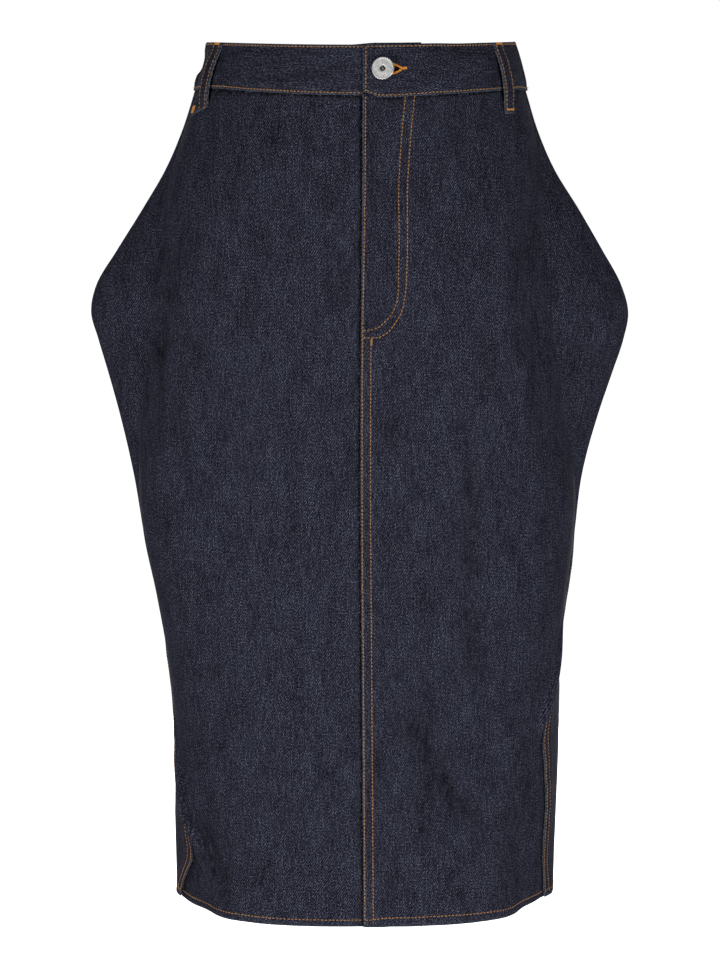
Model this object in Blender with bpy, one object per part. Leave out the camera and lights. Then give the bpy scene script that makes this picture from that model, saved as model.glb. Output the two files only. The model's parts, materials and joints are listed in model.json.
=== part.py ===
"""A denim skirt, filled out as if worn: stiff winged hips, a lapped fly and a straight waistband.

The model is in metres with +Z up. The origin is the centre of the waist opening, level with the top
of its sides and back. The skirt faces -Y, and the wearer's left is +X.

Every piece of cloth is a wall on one shared surface, called the skin here. A place on the skin is
named by two lengths: round, how far along the cloth it lies from the centre front towards the wearer's
left, and down, how far it lies below the waist's top edge. A wall's faces are offsets from the skin,
outwards. All sizes in the tables are in millimetres.
"""

import math

import bmesh
import bpy
import numpy as np
from mathutils import Matrix, Vector

MM = 0.001

# The whole garment
LENGTH = 705.0  # waist's top edge to hem
FRONT_DIP = 5.0  # the waist sits this much lower at the centre front
DIP_ROUNDS = 1.4  # how fast the dip goes towards the sides
DIP_FADES = 200.0  # the dip is gone this far down

# The cloth and how its layers lie
CLOTH = 1.2  # one wall of heavy denim
GAP = 0.3  # between layers that touch
LAYER = CLOTH + GAP  # how far a lapped edge is lifted by the one beneath it
LAP = 12.0  # width of a felled seam
LAP_ENDS = 24.0  # a lapped edge has come down again this far in
HEM = 10.0  # height of the turned hem
HEM_TURN = 1.6  # the turned layers inside it

# The waistband
BAND = 41.0  # height
BAND_WALL = 3.0
LIP = 1.4  # its outer layer, which covers the panels' tops
TUCK = 9.0  # how far the panels reach up under that layer
BAND_STEPS = 69  # its columns between the overlap and the underlap
OVERLAP_LIFT = BAND_WALL + GAP
OVERLAP_FLAT = 50.0  # the overlap lies on the underlap this far in from its end
OVERLAP_ENDS = 80.0  # and has come down to the skin here
SEAM_BULGE = 16.0  # the band starts to rise this far before a felled seam beneath it
UNDERLAP = 46.0  # how far the underlap runs on past the centre front
UNDERLAP_RISE = 1.5  # its end stands this much above the overlap

# The fly
FLY_BOTTOM = 226.0
FLY_EDGE_UNDER = 8.0  # the wearer's right front runs on this far under the fly
ZIP_LIFT = 2.0  # the fly's edge stands this much off the skin, over the zip
SHIELD_WIDTH = 52.0
SHIELD_BEFORE = 6.0  # the shield starts this far before the fly's edge
SHIELD_TOP = 33.0
ZIP_WIDTH = 26.0
ZIP_TAPE = 1.0
ZIP_CHAIN = 1.5
CHAIN_WIDTH = 5.0
ZIP_BOTTOM = 220.0
SLIDER_WALL = 1.0
# The slider and its tab lie flat in one: down, and half the width there
SLIDER = ((47, 3.2), (50, 4.2), (58, 4.2), (61, 3.2), (63, 2.2), (78, 2.6), (80, 1.8))

# The tack button and its keyhole
BUTTON_ROUND = 16.4
BUTTON_DOWN = 20.3
SHANK_RADIUS = 1.8
HOLE_HALF = 2.2
SLIT_NARROWS = 24.8  # the keyhole's slit gapes from the shank to here
SLIT_HALF_OPEN = 1.8
SLIT_END = 30.8
SLIT_HALF_END = 0.25
BUTTON_SIDES = 28
# From the tack inside the band to the cap outside: radius, and height off the skin
BUTTON_PROFILE = (
    (0, -1.9),
    (3.6, -1.9),
    (4.5, -1.4),
    (4.5, -0.5),
    (4.2, -0.3),
    (SHANK_RADIUS, -0.3),
    (SHANK_RADIUS, 6.9),
    (7.9, 6.9),
    (9.0, 7.3),
    (9.25, 8.2),
    (9.0, 9.0),
    (8.4, 9.3),
    (7.6, 9.1),
    (3.4, 9.0),
    (2.9, 8.4),
    (2.1, 8.3),
    (1.7, 8.9),
    (0, 9.3),
)

# The belt loops
LOOP_WIDTH = 12.0
LOOP_WALL = 1.8
LOOP_ROWS = np.array([0.8, 5, 10, 16, 22, 28, 34, 39, 43, 47, 52, 57.5], float)
# Where the two front loops lie, seen from the front: side, and across at the top and the bottom
LOOPS = (
    ("right", -110, -124.5),
    ("left", 108.5, 118),
)

# The outline seen from the front. right and left are half widths on the wearer's own sides, and
# pouch is how far the stiff cloth stands out beyond the figure there.
OUTLINE_COLUMNS = ("down", "right", "left", "pouch_right", "pouch_left")
OUTLINE = (
    (0, 122, 122, 2, 2),
    (41, 134, 134.5, 2, 2),
    (70, 143.5, 143.5, 2, 3),
    (103, 158, 158, 6, 12),
    (135, 177, 178, 18, 30),
    (168, 198, 197.5, 36, 48),
    (198, 216, 214, 47, 60),
    (219, 220, 219.5, 50, 64),
    (240, 214.5, 216, 43, 57),
    (268, 206.5, 207, 32, 44),
    (300, 198, 196.5, 20, 30),
    (350, 187, 183.5, 6, 8),
    (400, 179.5, 178, 2, 3),
    (451, 169.5, 171.5, 2, 2),
    (502, 160.5, 163.5, 2, 2),
    (538, 156, 162, 2, 2),
    (604, 153.5, 162, 2, 2),
    (705, 152.5, 161, 2, 2),
)

# The figure seen from the side and from above. front and back are depths from the middle, wing is
# half the thickness of the winged hip where it leaves the figure, and square is the exponent of the
# figure's rounded section: 2 is an ellipse, and more is squarer.
FIGURE_COLUMNS = ("down", "front", "back", "wing", "square")
FIGURE = (
    (0, 95, 92, 40, 2.05),
    (41, 99, 100, 45, 2.1),
    (103, 107, 115, 58, 2.35),
    (168, 111, 125, 68, 2.6),
    (219, 112, 127, 72, 2.7),
    (300, 111, 123, 67, 2.8),
    (400, 110, 117, 50, 2.9),
    (502, 110, 112, 30, 2.9),
    (604, 113, 112, 24, 2.75),
    (705, 116, 114, 24, 2.65),
)
JOIN = 6.0  # how sharply a wing leaves the figure

# Where the seams run. fly is the lapped edge's distance round from the centre, and the side
# seams are measured from the outermost line of their side, towards the back.
SEAM_COLUMNS = ("down", "fly", "side_right", "side_left")
SEAMS = (
    (0, 2.0, 12, 12),
    (118, 1.6, 10, 10),
    (298, 0.4, 9, 9),
    (398, 0.6, 9, 6),
    (450, 1.0, 8, -10),
    (498, 1.4, 2, -36),
    (532, 1.6, -14, -56),
    (558, 1.8, -30, -66),
    (588, 2.0, -46, -63),
    (618, 2.2, -58, -59),
    (645, 2.4, -66, -57),
    (663, 2.5, -64, -52),
    (690, 2.65, -38, -38),
    (705, 2.7, -28, -32),
)

# How far the fly's edge is lifted: lift for the first flat millimetres, and none from ends on.
FLY_COLUMNS = ("down", "lift", "flat", "ends")
FLY = (
    (0, OVERLAP_LIFT, OVERLAP_FLAT, OVERLAP_ENDS),
    (83, OVERLAP_LIFT, OVERLAP_FLAT, 78),
    (110, ZIP_LIFT, 44, 70),
    (FLY_BOTTOM, ZIP_LIFT, 36, 58),
    (250, LAYER, 12.5, LAP_ENDS),
    (LENGTH, LAYER, 12.5, LAP_ENDS),
)

# Folds, each along a curve through three places seen from the front: across from the centre
# towards the wearer's left, and down. A positive depth sinks in, a negative one stands out.
FOLD_COLUMNS = ("across_1", "down_1", "across_2", "down_2", "across_3", "down_3", "width", "depth")
FRONT_FOLDS = (
    (24, 521, 64, 594, 96, 653, 14, 7.0),
    (88, 305, 89, 408, 88, 513, 14, 3.0),
    (40, 403, 43, 456, 41, 508, 18, -3.0),
    (-8, 538, -10, 602, -12, 673, 28, -2.5),
    (-89, 58, -94, 281, -88, 521, 15, 2.2),
    (-20, 137, -12, 171, -4, 203, 9, 2.0),
    (32, 220, 36, 236, 37, 252, 8, 1.8),
    (-147, 573, -141, 614, -124, 680, 8, -2.6),
    (159, 468, 154, 505, 148, 543, 9, -2.2),
    (-137, 648, -136, 680, -134, 705, 17, 8.0),
    (126, 618, 139, 668, 146, 705, 18, 11.0),
    (-100, 44, -103, 78, -104, 116, 8, 1.1),
    (-72, 44, -73, 68, -72, 98, 7, 1.0),
    (-46, 44, -47, 73, -44, 106, 8, 1.0),
    (56, 44, 58, 70, 57, 102, 8, 1.0),
    (82, 44, 85, 74, 84, 110, 7, 1.1),
)
BACK_FOLDS = (
    (-30, 546, -62, 610, -94, 670, 13, 5.0),
    (92, 298, 90, 403, 84, 518, 14, 3.0),
    (-95, 328, -92, 428, -98, 533, 14, 2.6),
    (36, 418, 39, 488, 33, 563, 18, -2.8),
    (-42, 186, -62, 212, -88, 230, 10, 2.2),
    (46, 194, 64, 220, 86, 236, 10, 2.0),
    (40, 598, 62, 648, 76, 705, 16, 3.0),
    (140, 638, 136, 670, 128, 698, 9, -2.2),
    (-96, 44, -99, 76, -100, 112, 8, 1.0),
    (-58, 44, -60, 70, -58, 98, 8, 0.9),
    (60, 44, 62, 72, 61, 104, 8, 1.0),
    (94, 44, 97, 78, 98, 114, 8, 1.1),
)

# The rows of every panel, closer where the shape turns.
PANEL_ROWS = np.array(
    [BAND - TUCK, 41, 51, 64, 80, 97, 114, 130, 146, 162, 178, 194, 208, 221, 234, 250, 270, 292]
    + [316, 340, 366, 392, 420, 448, 476, 504, 532, 560, 588, 616, 644, 670, 688]
    + [LENGTH - HEM - 1, LENGTH - HEM, LENGTH],
    float,
)

# The columns of every panel between its seams, as shares of the way from its side seam. They are
# closer where the wing leaves the figure.
PANEL_SHARES = np.array([4, 9, 14, 19, 24, 29, 34, 39, 45, 52, 61, 72, 86]) / 100

# A loop's inner face above the skin, from its top tack down to its bottom tack.
LOOP_COLUMNS = ("down", "stand")
LOOP_STAND = (
    (0, 3.4),
    (7, 3.5),
    (16, 5.2),
    (26, 5.8),
    (36, 5.3),
    (43, 4.2),
    (52, 1.7),
    (60, 1.6),
)

DENIM = (0.026, 0.027, 0.042, 1.0)
DENIM_DEEP = (0.022, 0.023, 0.037, 1.0)
TAPE = (0.02, 0.022, 0.04, 1.0)
STEEL = (0.62, 0.61, 0.58, 1.0)
BRASS = (0.58, 0.42, 0.2, 1.0)


def column(table, columns, name, down):
    """A table's column read at any height, along a smooth curve through its rows."""
    places = np.array([row[0] for row in table], float)
    values = np.array([row[columns.index(name)] for row in table], float)
    slopes = np.gradient(values, places)
    down = np.asarray(down, float)
    low = np.clip(np.searchsorted(places, down) - 1, 0, len(places) - 2)
    step = places[low + 1] - places[low]
    t = (down - places[low]) / step
    inside = np.clip(t, 0, 1)
    smooth = (
        (1 + 2 * inside) * (1 - inside) ** 2 * values[low]
        + inside * (1 - inside) ** 2 * step * slopes[low]
        + inside**2 * (3 - 2 * inside) * values[low + 1]
        + inside**2 * (inside - 1) * step * slopes[low + 1]
    )
    return smooth + (t - inside) * step * np.where(t < 0, slopes[low], slopes[low + 1])


def straight(table, columns, name, down):
    """A table's column read in straight steps, where a curve could overshoot."""
    return np.interp(down, [row[0] for row in table], [row[columns.index(name)] for row in table])


def ease(value, start, end):
    """0 up to start and 1 from end on, with a soft step between."""
    t = np.clip((value - start) / (end - start), 0, 1)
    return t * t * (3 - 2 * t)


def bare_skin(angle, down):
    """The skin without folds. angle runs round it: 0 at the centre front, a quarter turn at the left side."""
    left = np.sin(angle) >= 0
    front = np.cos(angle) >= 0
    half = np.where(
        left,
        column(OUTLINE, OUTLINE_COLUMNS, "left", down),
        column(OUTLINE, OUTLINE_COLUMNS, "right", down),
    )
    pouch = np.where(
        left,
        column(OUTLINE, OUTLINE_COLUMNS, "pouch_left", down),
        column(OUTLINE, OUTLINE_COLUMNS, "pouch_right", down),
    )
    depth = np.where(
        front,
        column(FIGURE, FIGURE_COLUMNS, "front", down),
        column(FIGURE, FIGURE_COLUMNS, "back", down),
    )
    wing = column(FIGURE, FIGURE_COLUMNS, "wing", down) * np.abs(np.cos(angle))
    square = column(FIGURE, FIGURE_COLUMNS, "square", down)
    across = half * np.sin(angle)
    share = np.minimum(np.abs(across) / (half - pouch), 1)
    figure = depth * (1 - share**square) ** (1 / square)
    reach = (figure**JOIN + wing**JOIN) ** (1 / JOIN)
    dip = FRONT_DIP * np.where(front, np.abs(np.cos(angle)) ** DIP_ROUNDS, 0)
    dip = dip * np.clip(1 - down / DIP_FADES, 0, 2) ** 2
    return np.stack([across, np.where(front, -reach, reach), -down - dip], axis=-1)


def fold_relief(points, down):
    """How far the folds move each point of the skin outwards."""
    relief = np.zeros(points.shape[:-1])
    for table, facing in ((FRONT_FOLDS, -1), (BACK_FOLDS, 1)):
        on_side = ease(facing * points[..., 1], 8, 40)
        for row in table:
            fold = dict(zip(FOLD_COLUMNS, row))
            nearest = np.full(relief.shape, 1e9)
            along = np.zeros(relief.shape)
            for t in np.linspace(0, 1, 41):
                weights = ((1 - t) * (1 - 2 * t), 4 * t * (1 - t), t * (2 * t - 1))
                across_t = sum(w * fold[f"across_{i + 1}"] for i, w in enumerate(weights))
                down_t = sum(w * fold[f"down_{i + 1}"] for i, w in enumerate(weights))
                away = np.hypot(points[..., 0] - across_t, down - down_t)
                along = np.where(away < nearest, t, along)
                nearest = np.minimum(nearest, away)
            to_hem = fold["down_3"] >= LENGTH
            taper = np.sin(np.pi * (along * 0.5 if to_hem else along) * 0.96 + 0.06)
            relief -= on_side * fold["depth"] * taper * np.exp(-((nearest / fold["width"]) ** 2))
    return relief


def skin_at(angle, down):
    """Points of the skin and its outward normals."""
    turn, drop = 0.002, 0.5
    along = bare_skin(angle + turn, down) - bare_skin(angle - turn, down)
    fall = bare_skin(angle, down + drop) - bare_skin(angle, down - drop)
    normal = np.cross(fall, along)
    normal /= np.linalg.norm(normal, axis=-1, keepdims=True)
    points = bare_skin(angle, down)
    return points + normal * fold_relief(points, down)[..., None], normal


def lengths_round(down):
    """At one height: angles all the way round, and the cloth's length from the centre front to each."""
    angles = np.linspace(-math.pi, math.pi, 1441)
    points = bare_skin(angles, np.full(angles.shape, float(down)))
    steps = np.linalg.norm(np.diff(points, axis=0), axis=1)
    lengths = np.concatenate([[0], np.cumsum(steps)])
    return angles, lengths - lengths[720]


def angle_of(round_, down):
    """The angle at which a place on the cloth lies, for arrays of places."""
    angle = np.zeros(round_.shape)
    for height in np.unique(down):
        angles, lengths = lengths_round(height)
        here = down == height
        whole = lengths[-1] - lengths[0]
        place = (round_[here] - lengths[0]) % whole + lengths[0]
        angle[here] = np.interp(place, lengths, angles)
    return angle


def round_at(down, quarter):
    """The cloth's length from the centre front to a quarter line: 1 is the left side, 2 the centre back."""
    out = []
    for height in down:
        angles, lengths = lengths_round(height)
        out.append(np.interp(quarter * math.pi / 2, angles, lengths))
    return np.array(out)


def place(round_, down, offset):
    """Points at these places of the skin, moved out by offset."""
    points, normal = skin_at(angle_of(round_, down), down)
    return points + normal * offset[..., None]


def spread(start, end, near_start, near_end, shares):
    """Rows of places from start to end: some at set distances from each end, the rest shared out between."""
    first = start[:, None] + np.array(near_start, float)
    last = end[:, None] - np.array(near_end[::-1], float)
    t = np.array(shares, float)
    between = first[:, -1:] * (1 - t) + last[:, :1] * t
    return np.hstack([first, between, last])


def finish_object(name, bm, colour, roughness, metallic=0.0):
    """Makes a named object of the mesh, smooth shaded, with its own material."""
    bmesh.ops.recalc_face_normals(bm, faces=bm.faces[:])
    if bm.calc_volume(signed=True) < 0:
        bmesh.ops.reverse_faces(bm, faces=bm.faces[:])
    mesh = bpy.data.meshes.new(name)
    bm.to_mesh(mesh)
    bm.free()
    mesh.shade_smooth()
    mesh.set_sharp_from_angle(angle=math.radians(40))
    material = bpy.data.materials.new(name)
    material.use_nodes = True
    shader = material.node_tree.nodes["Principled BSDF"]
    shader.inputs["Base Color"].default_value = colour
    shader.inputs["Roughness"].default_value = roughness
    shader.inputs["Metallic"].default_value = metallic
    mesh.materials.append(material)
    built = bpy.data.objects.new(name, mesh)
    bpy.context.collection.objects.link(built)
    return built


def wall(name, round_, down, inner, outer, colour=DENIM, roughness=0.85, metallic=0.0, holes=()):
    """A closed wall of cloth between two offsets from the skin, over a grid of places on it.

    Each of holes is a block of the grid to cut out: its first and last row, then first and last column.
    """
    rows, columns = round_.shape
    faces = [place(round_, down, offset + np.zeros(round_.shape)) * MM for offset in (inner, outer)]
    bm = bmesh.new()
    bmesh.ops.create_grid(bm, x_segments=columns - 1, y_segments=rows - 1, size=1)

    def cell(x, count):
        return (x + 1) / 2 * (count - 1)

    for top, bottom, first, last in holes:
        cut = []
        for face in bm.faces:
            centre = face.calc_center_median()
            row, col = cell(centre.y, rows), cell(centre.x, columns)
            if top < row < bottom and first < col < last:
                cut.append(face)
        bmesh.ops.delete(bm, geom=cut, context="FACES")
    lifted = bmesh.ops.extrude_face_region(bm, geom=bm.faces[:])["geom"]
    on_outside = {part for part in lifted if isinstance(part, bmesh.types.BMVert)}
    for vert in bm.verts:
        row, col = round(cell(vert.co.y, rows)), round(cell(vert.co.x, columns))
        vert.co = faces[1 if vert in on_outside else 0][row, col]
    return finish_object(name, bm, colour, roughness, metallic)


def fly_lift(distance, down):
    """How far the fly's edge, and the waistband's overlap with it, stand off the skin."""
    flat = straight(FLY, FLY_COLUMNS, "flat", down)
    ends = straight(FLY, FLY_COLUMNS, "ends", down)
    return straight(FLY, FLY_COLUMNS, "lift", down) * (1 - ease(distance, flat, ends))


def lap_lift(distance):
    """How far an edge stands off the skin where it laps over the next panel."""
    return LAYER * (1 - ease(distance, LAP, LAP_ENDS))


def hem_turn(down, distance):
    """The turned hem's inner layers, left out where the panel lies on another."""
    in_hem = ease(down, LENGTH - HEM - 0.9, LENGTH - HEM - 0.1)
    return HEM_TURN * in_hem * ease(distance, LAP + 4, LAP + 9)


def seam(name, down):
    return column(SEAMS, SEAM_COLUMNS, name, down)


def side_seam(side, down):
    """Where a side seam's lapped edge runs, round from the centre front."""
    if side == "left":
        return round_at(down, 1) + seam("side_left", down)
    return round_at(down, -1) - seam("side_right", down)


FAR = 1e3  # a distance from an edge that laps over nothing


def front_left():
    """The wearer's left front: its fly edge laps over the right front, its side runs under the back."""
    down = PANEL_ROWS
    start = seam("fly", down)
    round_ = spread(
        start,
        side_seam("left", down) + LAP,
        (0, 6, 12, 24, 37, 50),
        (0, 6, LAP, 18, 25),
        1 - PANEL_SHARES[::-1],
    )
    deep = np.repeat(down[:, None], round_.shape[1], axis=1)
    from_fly = round_ - start[:, None]
    lift = fly_lift(from_fly, deep)
    wall("front_left", round_, deep, lift - hem_turn(deep, from_fly), lift + CLOTH)


def front_right():
    """The wearer's right front: both of its edges run under their neighbours."""
    down = PANEL_ROWS
    under = FLY_EDGE_UNDER + (LAP - FLY_EDGE_UNDER) * ease(down, FLY_BOTTOM + 4, FLY_BOTTOM + 20)
    round_ = spread(
        side_seam("right", down) - LAP,
        seam("fly", down) + under,
        (0, 6, LAP, 18, 25),
        (0, 6, 14, 26),
        PANEL_SHARES,
    )
    deep = np.repeat(down[:, None], round_.shape[1], axis=1)
    wall("front_right", round_, deep, -hem_turn(deep, FAR), CLOTH)


def back_left():
    """The wearer's left back: it laps over the front at the side and over the other back at the centre."""
    down = PANEL_ROWS
    start, end = side_seam("left", down), round_at(down, 2)
    round_ = spread(start, end, (0, 6, LAP, 18, 24), (0, 6, LAP, 24), PANEL_SHARES)
    deep = np.repeat(down[:, None], round_.shape[1], axis=1)
    from_side, from_centre = round_ - start[:, None], end[:, None] - round_
    lift = lap_lift(from_side) + lap_lift(from_centre)
    turn = hem_turn(deep, np.minimum(from_side, from_centre))
    wall("back_left", round_, deep, lift - turn, lift + CLOTH)


def back_right():
    """The wearer's right back: it laps over the front at the side and runs under the left back."""
    down = PANEL_ROWS
    start, end = round_at(down, -2) - LAP, side_seam("right", down)
    round_ = spread(start, end, (0, 6, LAP, 24), (0, 6, LAP, 18, 24), 1 - PANEL_SHARES[::-1])
    deep = np.repeat(down[:, None], round_.shape[1], axis=1)
    from_side = end[:, None] - round_
    lift = lap_lift(from_side)
    wall("back_right", round_, deep, lift - hem_turn(deep, from_side), lift + CLOTH)


def over_seams(round_, down, whole):
    """How far the band stands out over the thick felled seams of the panels beneath its outer layer."""
    lift = np.zeros(round_.shape)
    row = down[:, 0]
    edges = (
        (side_seam("left", row), 1),
        (side_seam("right", row) + whole, -1),
        (round_at(row, 2), -1),
    )
    for edge, towards in edges:
        distance = (round_ - edge[:, None]) * towards
        lift += ease(distance, -SEAM_BULGE, -1) * (1 - ease(distance, LAP + 2, LAP + SEAM_BULGE))
    return LAYER * lift * ease(down, 18, BAND - TUCK - 1)


def waistband():
    """One strip, from the overlap's end at the centre front, round the left side and the back to the
    underlap's end. Its outer layer reaches down over the panels' tops."""
    step = BAND - TUCK - 0.6
    row = np.array([0, 9, BUTTON_DOWN - HOLE_HALF, BUTTON_DOWN + HOLE_HALF, step - 0.4, step, BAND])
    whole = round_at(row, 2) - round_at(row, -2)
    start = seam("fly", row)
    hole_start, hole_end = BUTTON_ROUND - HOLE_HALF, BUTTON_ROUND + HOLE_HALF
    edge = start[0]
    slit = [hole_start - edge, hole_end - edge, SLIT_NARROWS - edge, SLIT_END - edge]
    near_start = [0, 7] + slit + [39, OVERLAP_FLAT, 60, 70, OVERLAP_ENDS]
    near_end = [0, 9, 18, UNDERLAP - hole_end, UNDERLAP - hole_start, 38, 46, 55]
    between = np.linspace(0, 1, BAND_STEPS + 1)[1:-1]
    round_ = spread(start, UNDERLAP + whole, near_start, near_end, between)
    down = np.repeat(row[:, None], round_.shape[1], axis=1)
    lift = fly_lift(round_ - start[:, None], down) + over_seams(round_, down, whole)
    inner = lift + np.where(down > step - 0.2, BAND_WALL - LIP, 0)
    rise = UNDERLAP_RISE * ease(round_ - whole[:, None], -8, 10)
    above, below = 2, 3
    rise[[above, below]] = 0
    placed = down - rise
    for index, half in ((4, SLIT_HALF_OPEN), (5, SLIT_HALF_END)):
        placed[above, index] = BUTTON_DOWN - half
        placed[below, index] = BUTTON_DOWN + half
    last = round_.shape[1] - 1
    holes = ((above, below, 2, 5), (above, below, last - 4, last - 3))
    wall("waistband", round_, placed, inner, lift + BAND_WALL, holes=holes)


def zip_pieces():
    """The closed zip, edge to edge with the right front under the fly, its slider, and the shield behind."""
    down = np.array([SHIELD_TOP, 43, 60, 85, 110, 135, 160, 185, 205, ZIP_BOTTOM - 4, ZIP_BOTTOM], float)
    start = seam("fly", down) + FLY_EDGE_UNDER + GAP
    chain = ZIP_WIDTH / 2
    across = [0, chain - CHAIN_WIDTH / 2 - 0.4, chain - CHAIN_WIDTH / 2]
    across += [chain + CHAIN_WIDTH / 2, chain + CHAIN_WIDTH / 2 + 0.4, ZIP_WIDTH]
    round_ = start[:, None] + np.array(across)
    deep = np.repeat(down[:, None], round_.shape[1], axis=1)
    thick = np.full(round_.shape, ZIP_TAPE)
    thick[1:-1, 2:4] = ZIP_CHAIN
    wall("zip", round_, deep, 0, thick, TAPE, 0.8)

    down, half = np.array(SLIDER, float).T
    middle = seam("fly", down) + FLY_EDGE_UNDER + GAP + chain
    round_ = middle[:, None] + half[:, None] * np.array([-1, -0.4, 0.4, 1])
    deep = np.repeat(down[:, None], round_.shape[1], axis=1)
    foot = ZIP_CHAIN + GAP
    wall("zip_slider", round_, deep, foot, foot + SLIDER_WALL, BRASS, 0.35, 1.0)

    down = np.array([SHIELD_TOP, 42, 60, 85, 110, 135, 160, 185, 210, 224, FLY_BOTTOM + 6], float)
    start = seam("fly", down) - SHIELD_BEFORE
    round_ = start[:, None] + np.linspace(0, SHIELD_WIDTH, 7)
    round_[-2] = start[-2] + np.linspace(0, SHIELD_WIDTH - 5, 7)
    round_[-1] = start[-1] + np.linspace(2, SHIELD_WIDTH - 14, 7)
    deep = np.repeat(down[:, None], round_.shape[1], axis=1)
    wall("fly_shield", round_, deep, -LAYER, -GAP, DENIM_DEEP)


def round_seen(across, down):
    """The place round the cloth of something seen from the front this far across from the centre."""
    side = "left" if across[0] > 0 else "right"
    out = []
    for x, height in zip(across, down):
        angle = math.asin(x / column(OUTLINE, OUTLINE_COLUMNS, side, height))
        angles, lengths = lengths_round(height)
        out.append(np.interp(angle, angles, lengths))
    return np.array(out)


def belt_loop(name, middle, lifted=0.0):
    """A folded strip, tacked flat at its two ends and standing a little off the band between them."""
    down = LOOP_ROWS
    round_ = middle[:, None] + LOOP_WIDTH * np.array([-0.5, -0.42, 0.42, 0.5])
    deep = np.repeat(down[:, None], round_.shape[1], axis=1)
    stand = column(LOOP_STAND, LOOP_COLUMNS, "stand", deep) + lifted * ease(deep, 8, 26)
    edge = np.array([-0.35, 0, 0, -0.35])
    wall(name, round_, deep, stand, stand + LOOP_WALL + edge)


def belt_loops():
    for side, top, bottom in LOOPS:
        across = np.interp(LOOP_ROWS, [LOOP_ROWS[0], LOOP_ROWS[-1]], [top, bottom])
        belt_loop(f"belt_loop_{side}", round_seen(across, LOOP_ROWS))
    belt_loop("belt_loop_back", round_at(LOOP_ROWS, 2) - LAP / 2, LAYER)


def tack_button():
    """A turned tack button: its cap outside, its shank through the keyhole, and its tack inside."""
    here, deep = np.array([BUTTON_ROUND]), np.array([BUTTON_DOWN])
    foot = place(here, deep, np.array([0.0]))[0]
    out = Vector(place(here, deep, np.array([1.0]))[0] - foot)
    bm = bmesh.new()
    verts = [bm.verts.new((radius * MM, 0, height * MM)) for radius, height in BUTTON_PROFILE]
    edges = [bm.edges.new(pair) for pair in zip(verts, verts[1:])]
    bmesh.ops.spin(
        bm,
        geom=verts + edges,
        cent=(0, 0, 0),
        axis=(0, 0, 1),
        angle=math.tau,
        steps=BUTTON_SIDES,
        use_merge=True,
    )
    bmesh.ops.remove_doubles(bm, verts=bm.verts[:], dist=1e-6)
    button = finish_object("tack_button", bm, STEEL, 0.3, 1.0)
    button.matrix_world = Matrix.Translation(foot * MM) @ out.to_track_quat("Z", "Y").to_matrix().to_4x4()


def main():
    for old in list(bpy.data.objects):
        bpy.data.objects.remove(old, do_unlink=True)
    front_left()
    front_right()
    back_left()
    back_right()
    waistband()
    zip_pieces()
    belt_loops()
    tack_button()


main()
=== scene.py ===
# %% [markdown]
# # A denim skirt
# A plain solid model of this skirt exists already, at its real size. It is the frame that this lesson
# works on: every panel, the waistband, the belt loops, the zip and the button lie where its solids lie.
# Here they are made again as fine cloth, thread and metal.
#
# The order is that of a sewing room. First comes the form that the cloth lies on, then the cloth itself,
# the panels, the waistband and the loops, and last the thread, the metal, the light and the camera.

# %% The frame
import json
import math

import bpy
import numpy as np
from mathutils import Matrix, Vector

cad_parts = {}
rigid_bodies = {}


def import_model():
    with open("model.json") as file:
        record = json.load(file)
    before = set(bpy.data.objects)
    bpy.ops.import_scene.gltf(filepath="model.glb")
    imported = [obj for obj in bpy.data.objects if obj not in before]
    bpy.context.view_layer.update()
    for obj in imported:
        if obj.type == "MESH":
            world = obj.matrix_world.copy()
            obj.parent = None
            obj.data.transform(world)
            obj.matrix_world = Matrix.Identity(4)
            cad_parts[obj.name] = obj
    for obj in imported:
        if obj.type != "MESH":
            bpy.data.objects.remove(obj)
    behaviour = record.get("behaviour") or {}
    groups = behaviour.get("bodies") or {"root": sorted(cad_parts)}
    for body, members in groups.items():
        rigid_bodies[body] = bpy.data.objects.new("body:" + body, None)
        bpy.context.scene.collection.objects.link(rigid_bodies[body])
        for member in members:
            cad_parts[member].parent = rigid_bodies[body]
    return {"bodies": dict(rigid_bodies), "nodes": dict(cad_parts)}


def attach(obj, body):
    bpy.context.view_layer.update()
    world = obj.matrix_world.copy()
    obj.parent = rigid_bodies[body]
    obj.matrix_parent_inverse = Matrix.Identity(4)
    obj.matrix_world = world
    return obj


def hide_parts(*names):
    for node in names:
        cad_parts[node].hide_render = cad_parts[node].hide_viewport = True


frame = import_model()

MM = 0.001
BODY = next(iter(frame["bodies"]))
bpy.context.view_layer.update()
print("solids:", sorted(frame["nodes"]), "on", BODY)

# %% [markdown]
# ## The form, as tables of sizes
# A real skirt gets its form from flat pieces of stiff cloth, cut wider than the body at the hips. Sculpting
# it by hand would be quick, but every later piece needs to know where the cloth is. So the form is a
# function: tables give the outline from the front and the depths from the side, and a smooth curve is
# drawn through their rows. All sizes are in millimetres, and down is measured from the waist's top edge.

# %% Sizes of the whole garment
LENGTH = 705.0
FRONT_DIP = 5.0
DIP_ROUNDS = 1.4
DIP_FADES = 200.0
CLOTH = 1.2
GAP = 0.3
LAYER = CLOTH + GAP
LAP = 12.0
LAP_ENDS = 24.0
HEM = 10.0
HEM_TURN = 1.6
BAND = 41.0
BAND_WALL = 3.0
LIP = 1.4
TUCK = 9.0
OVERLAP_LIFT = BAND_WALL + GAP
OVERLAP_FLAT = 50.0
OVERLAP_ENDS = 80.0
SEAM_BULGE = 16.0
UNDERLAP = 46.0
UNDERLAP_RISE = 1.5
FLY_BOTTOM = 226.0
FLY_EDGE_UNDER = 8.0
ZIP_LIFT = 2.0

# %% The outline and the depths
def table(columns, *rows):
    """A table of sizes, as one array of numbers for each named column."""
    return dict(zip(columns.split(), np.array(rows, float).T))


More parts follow.
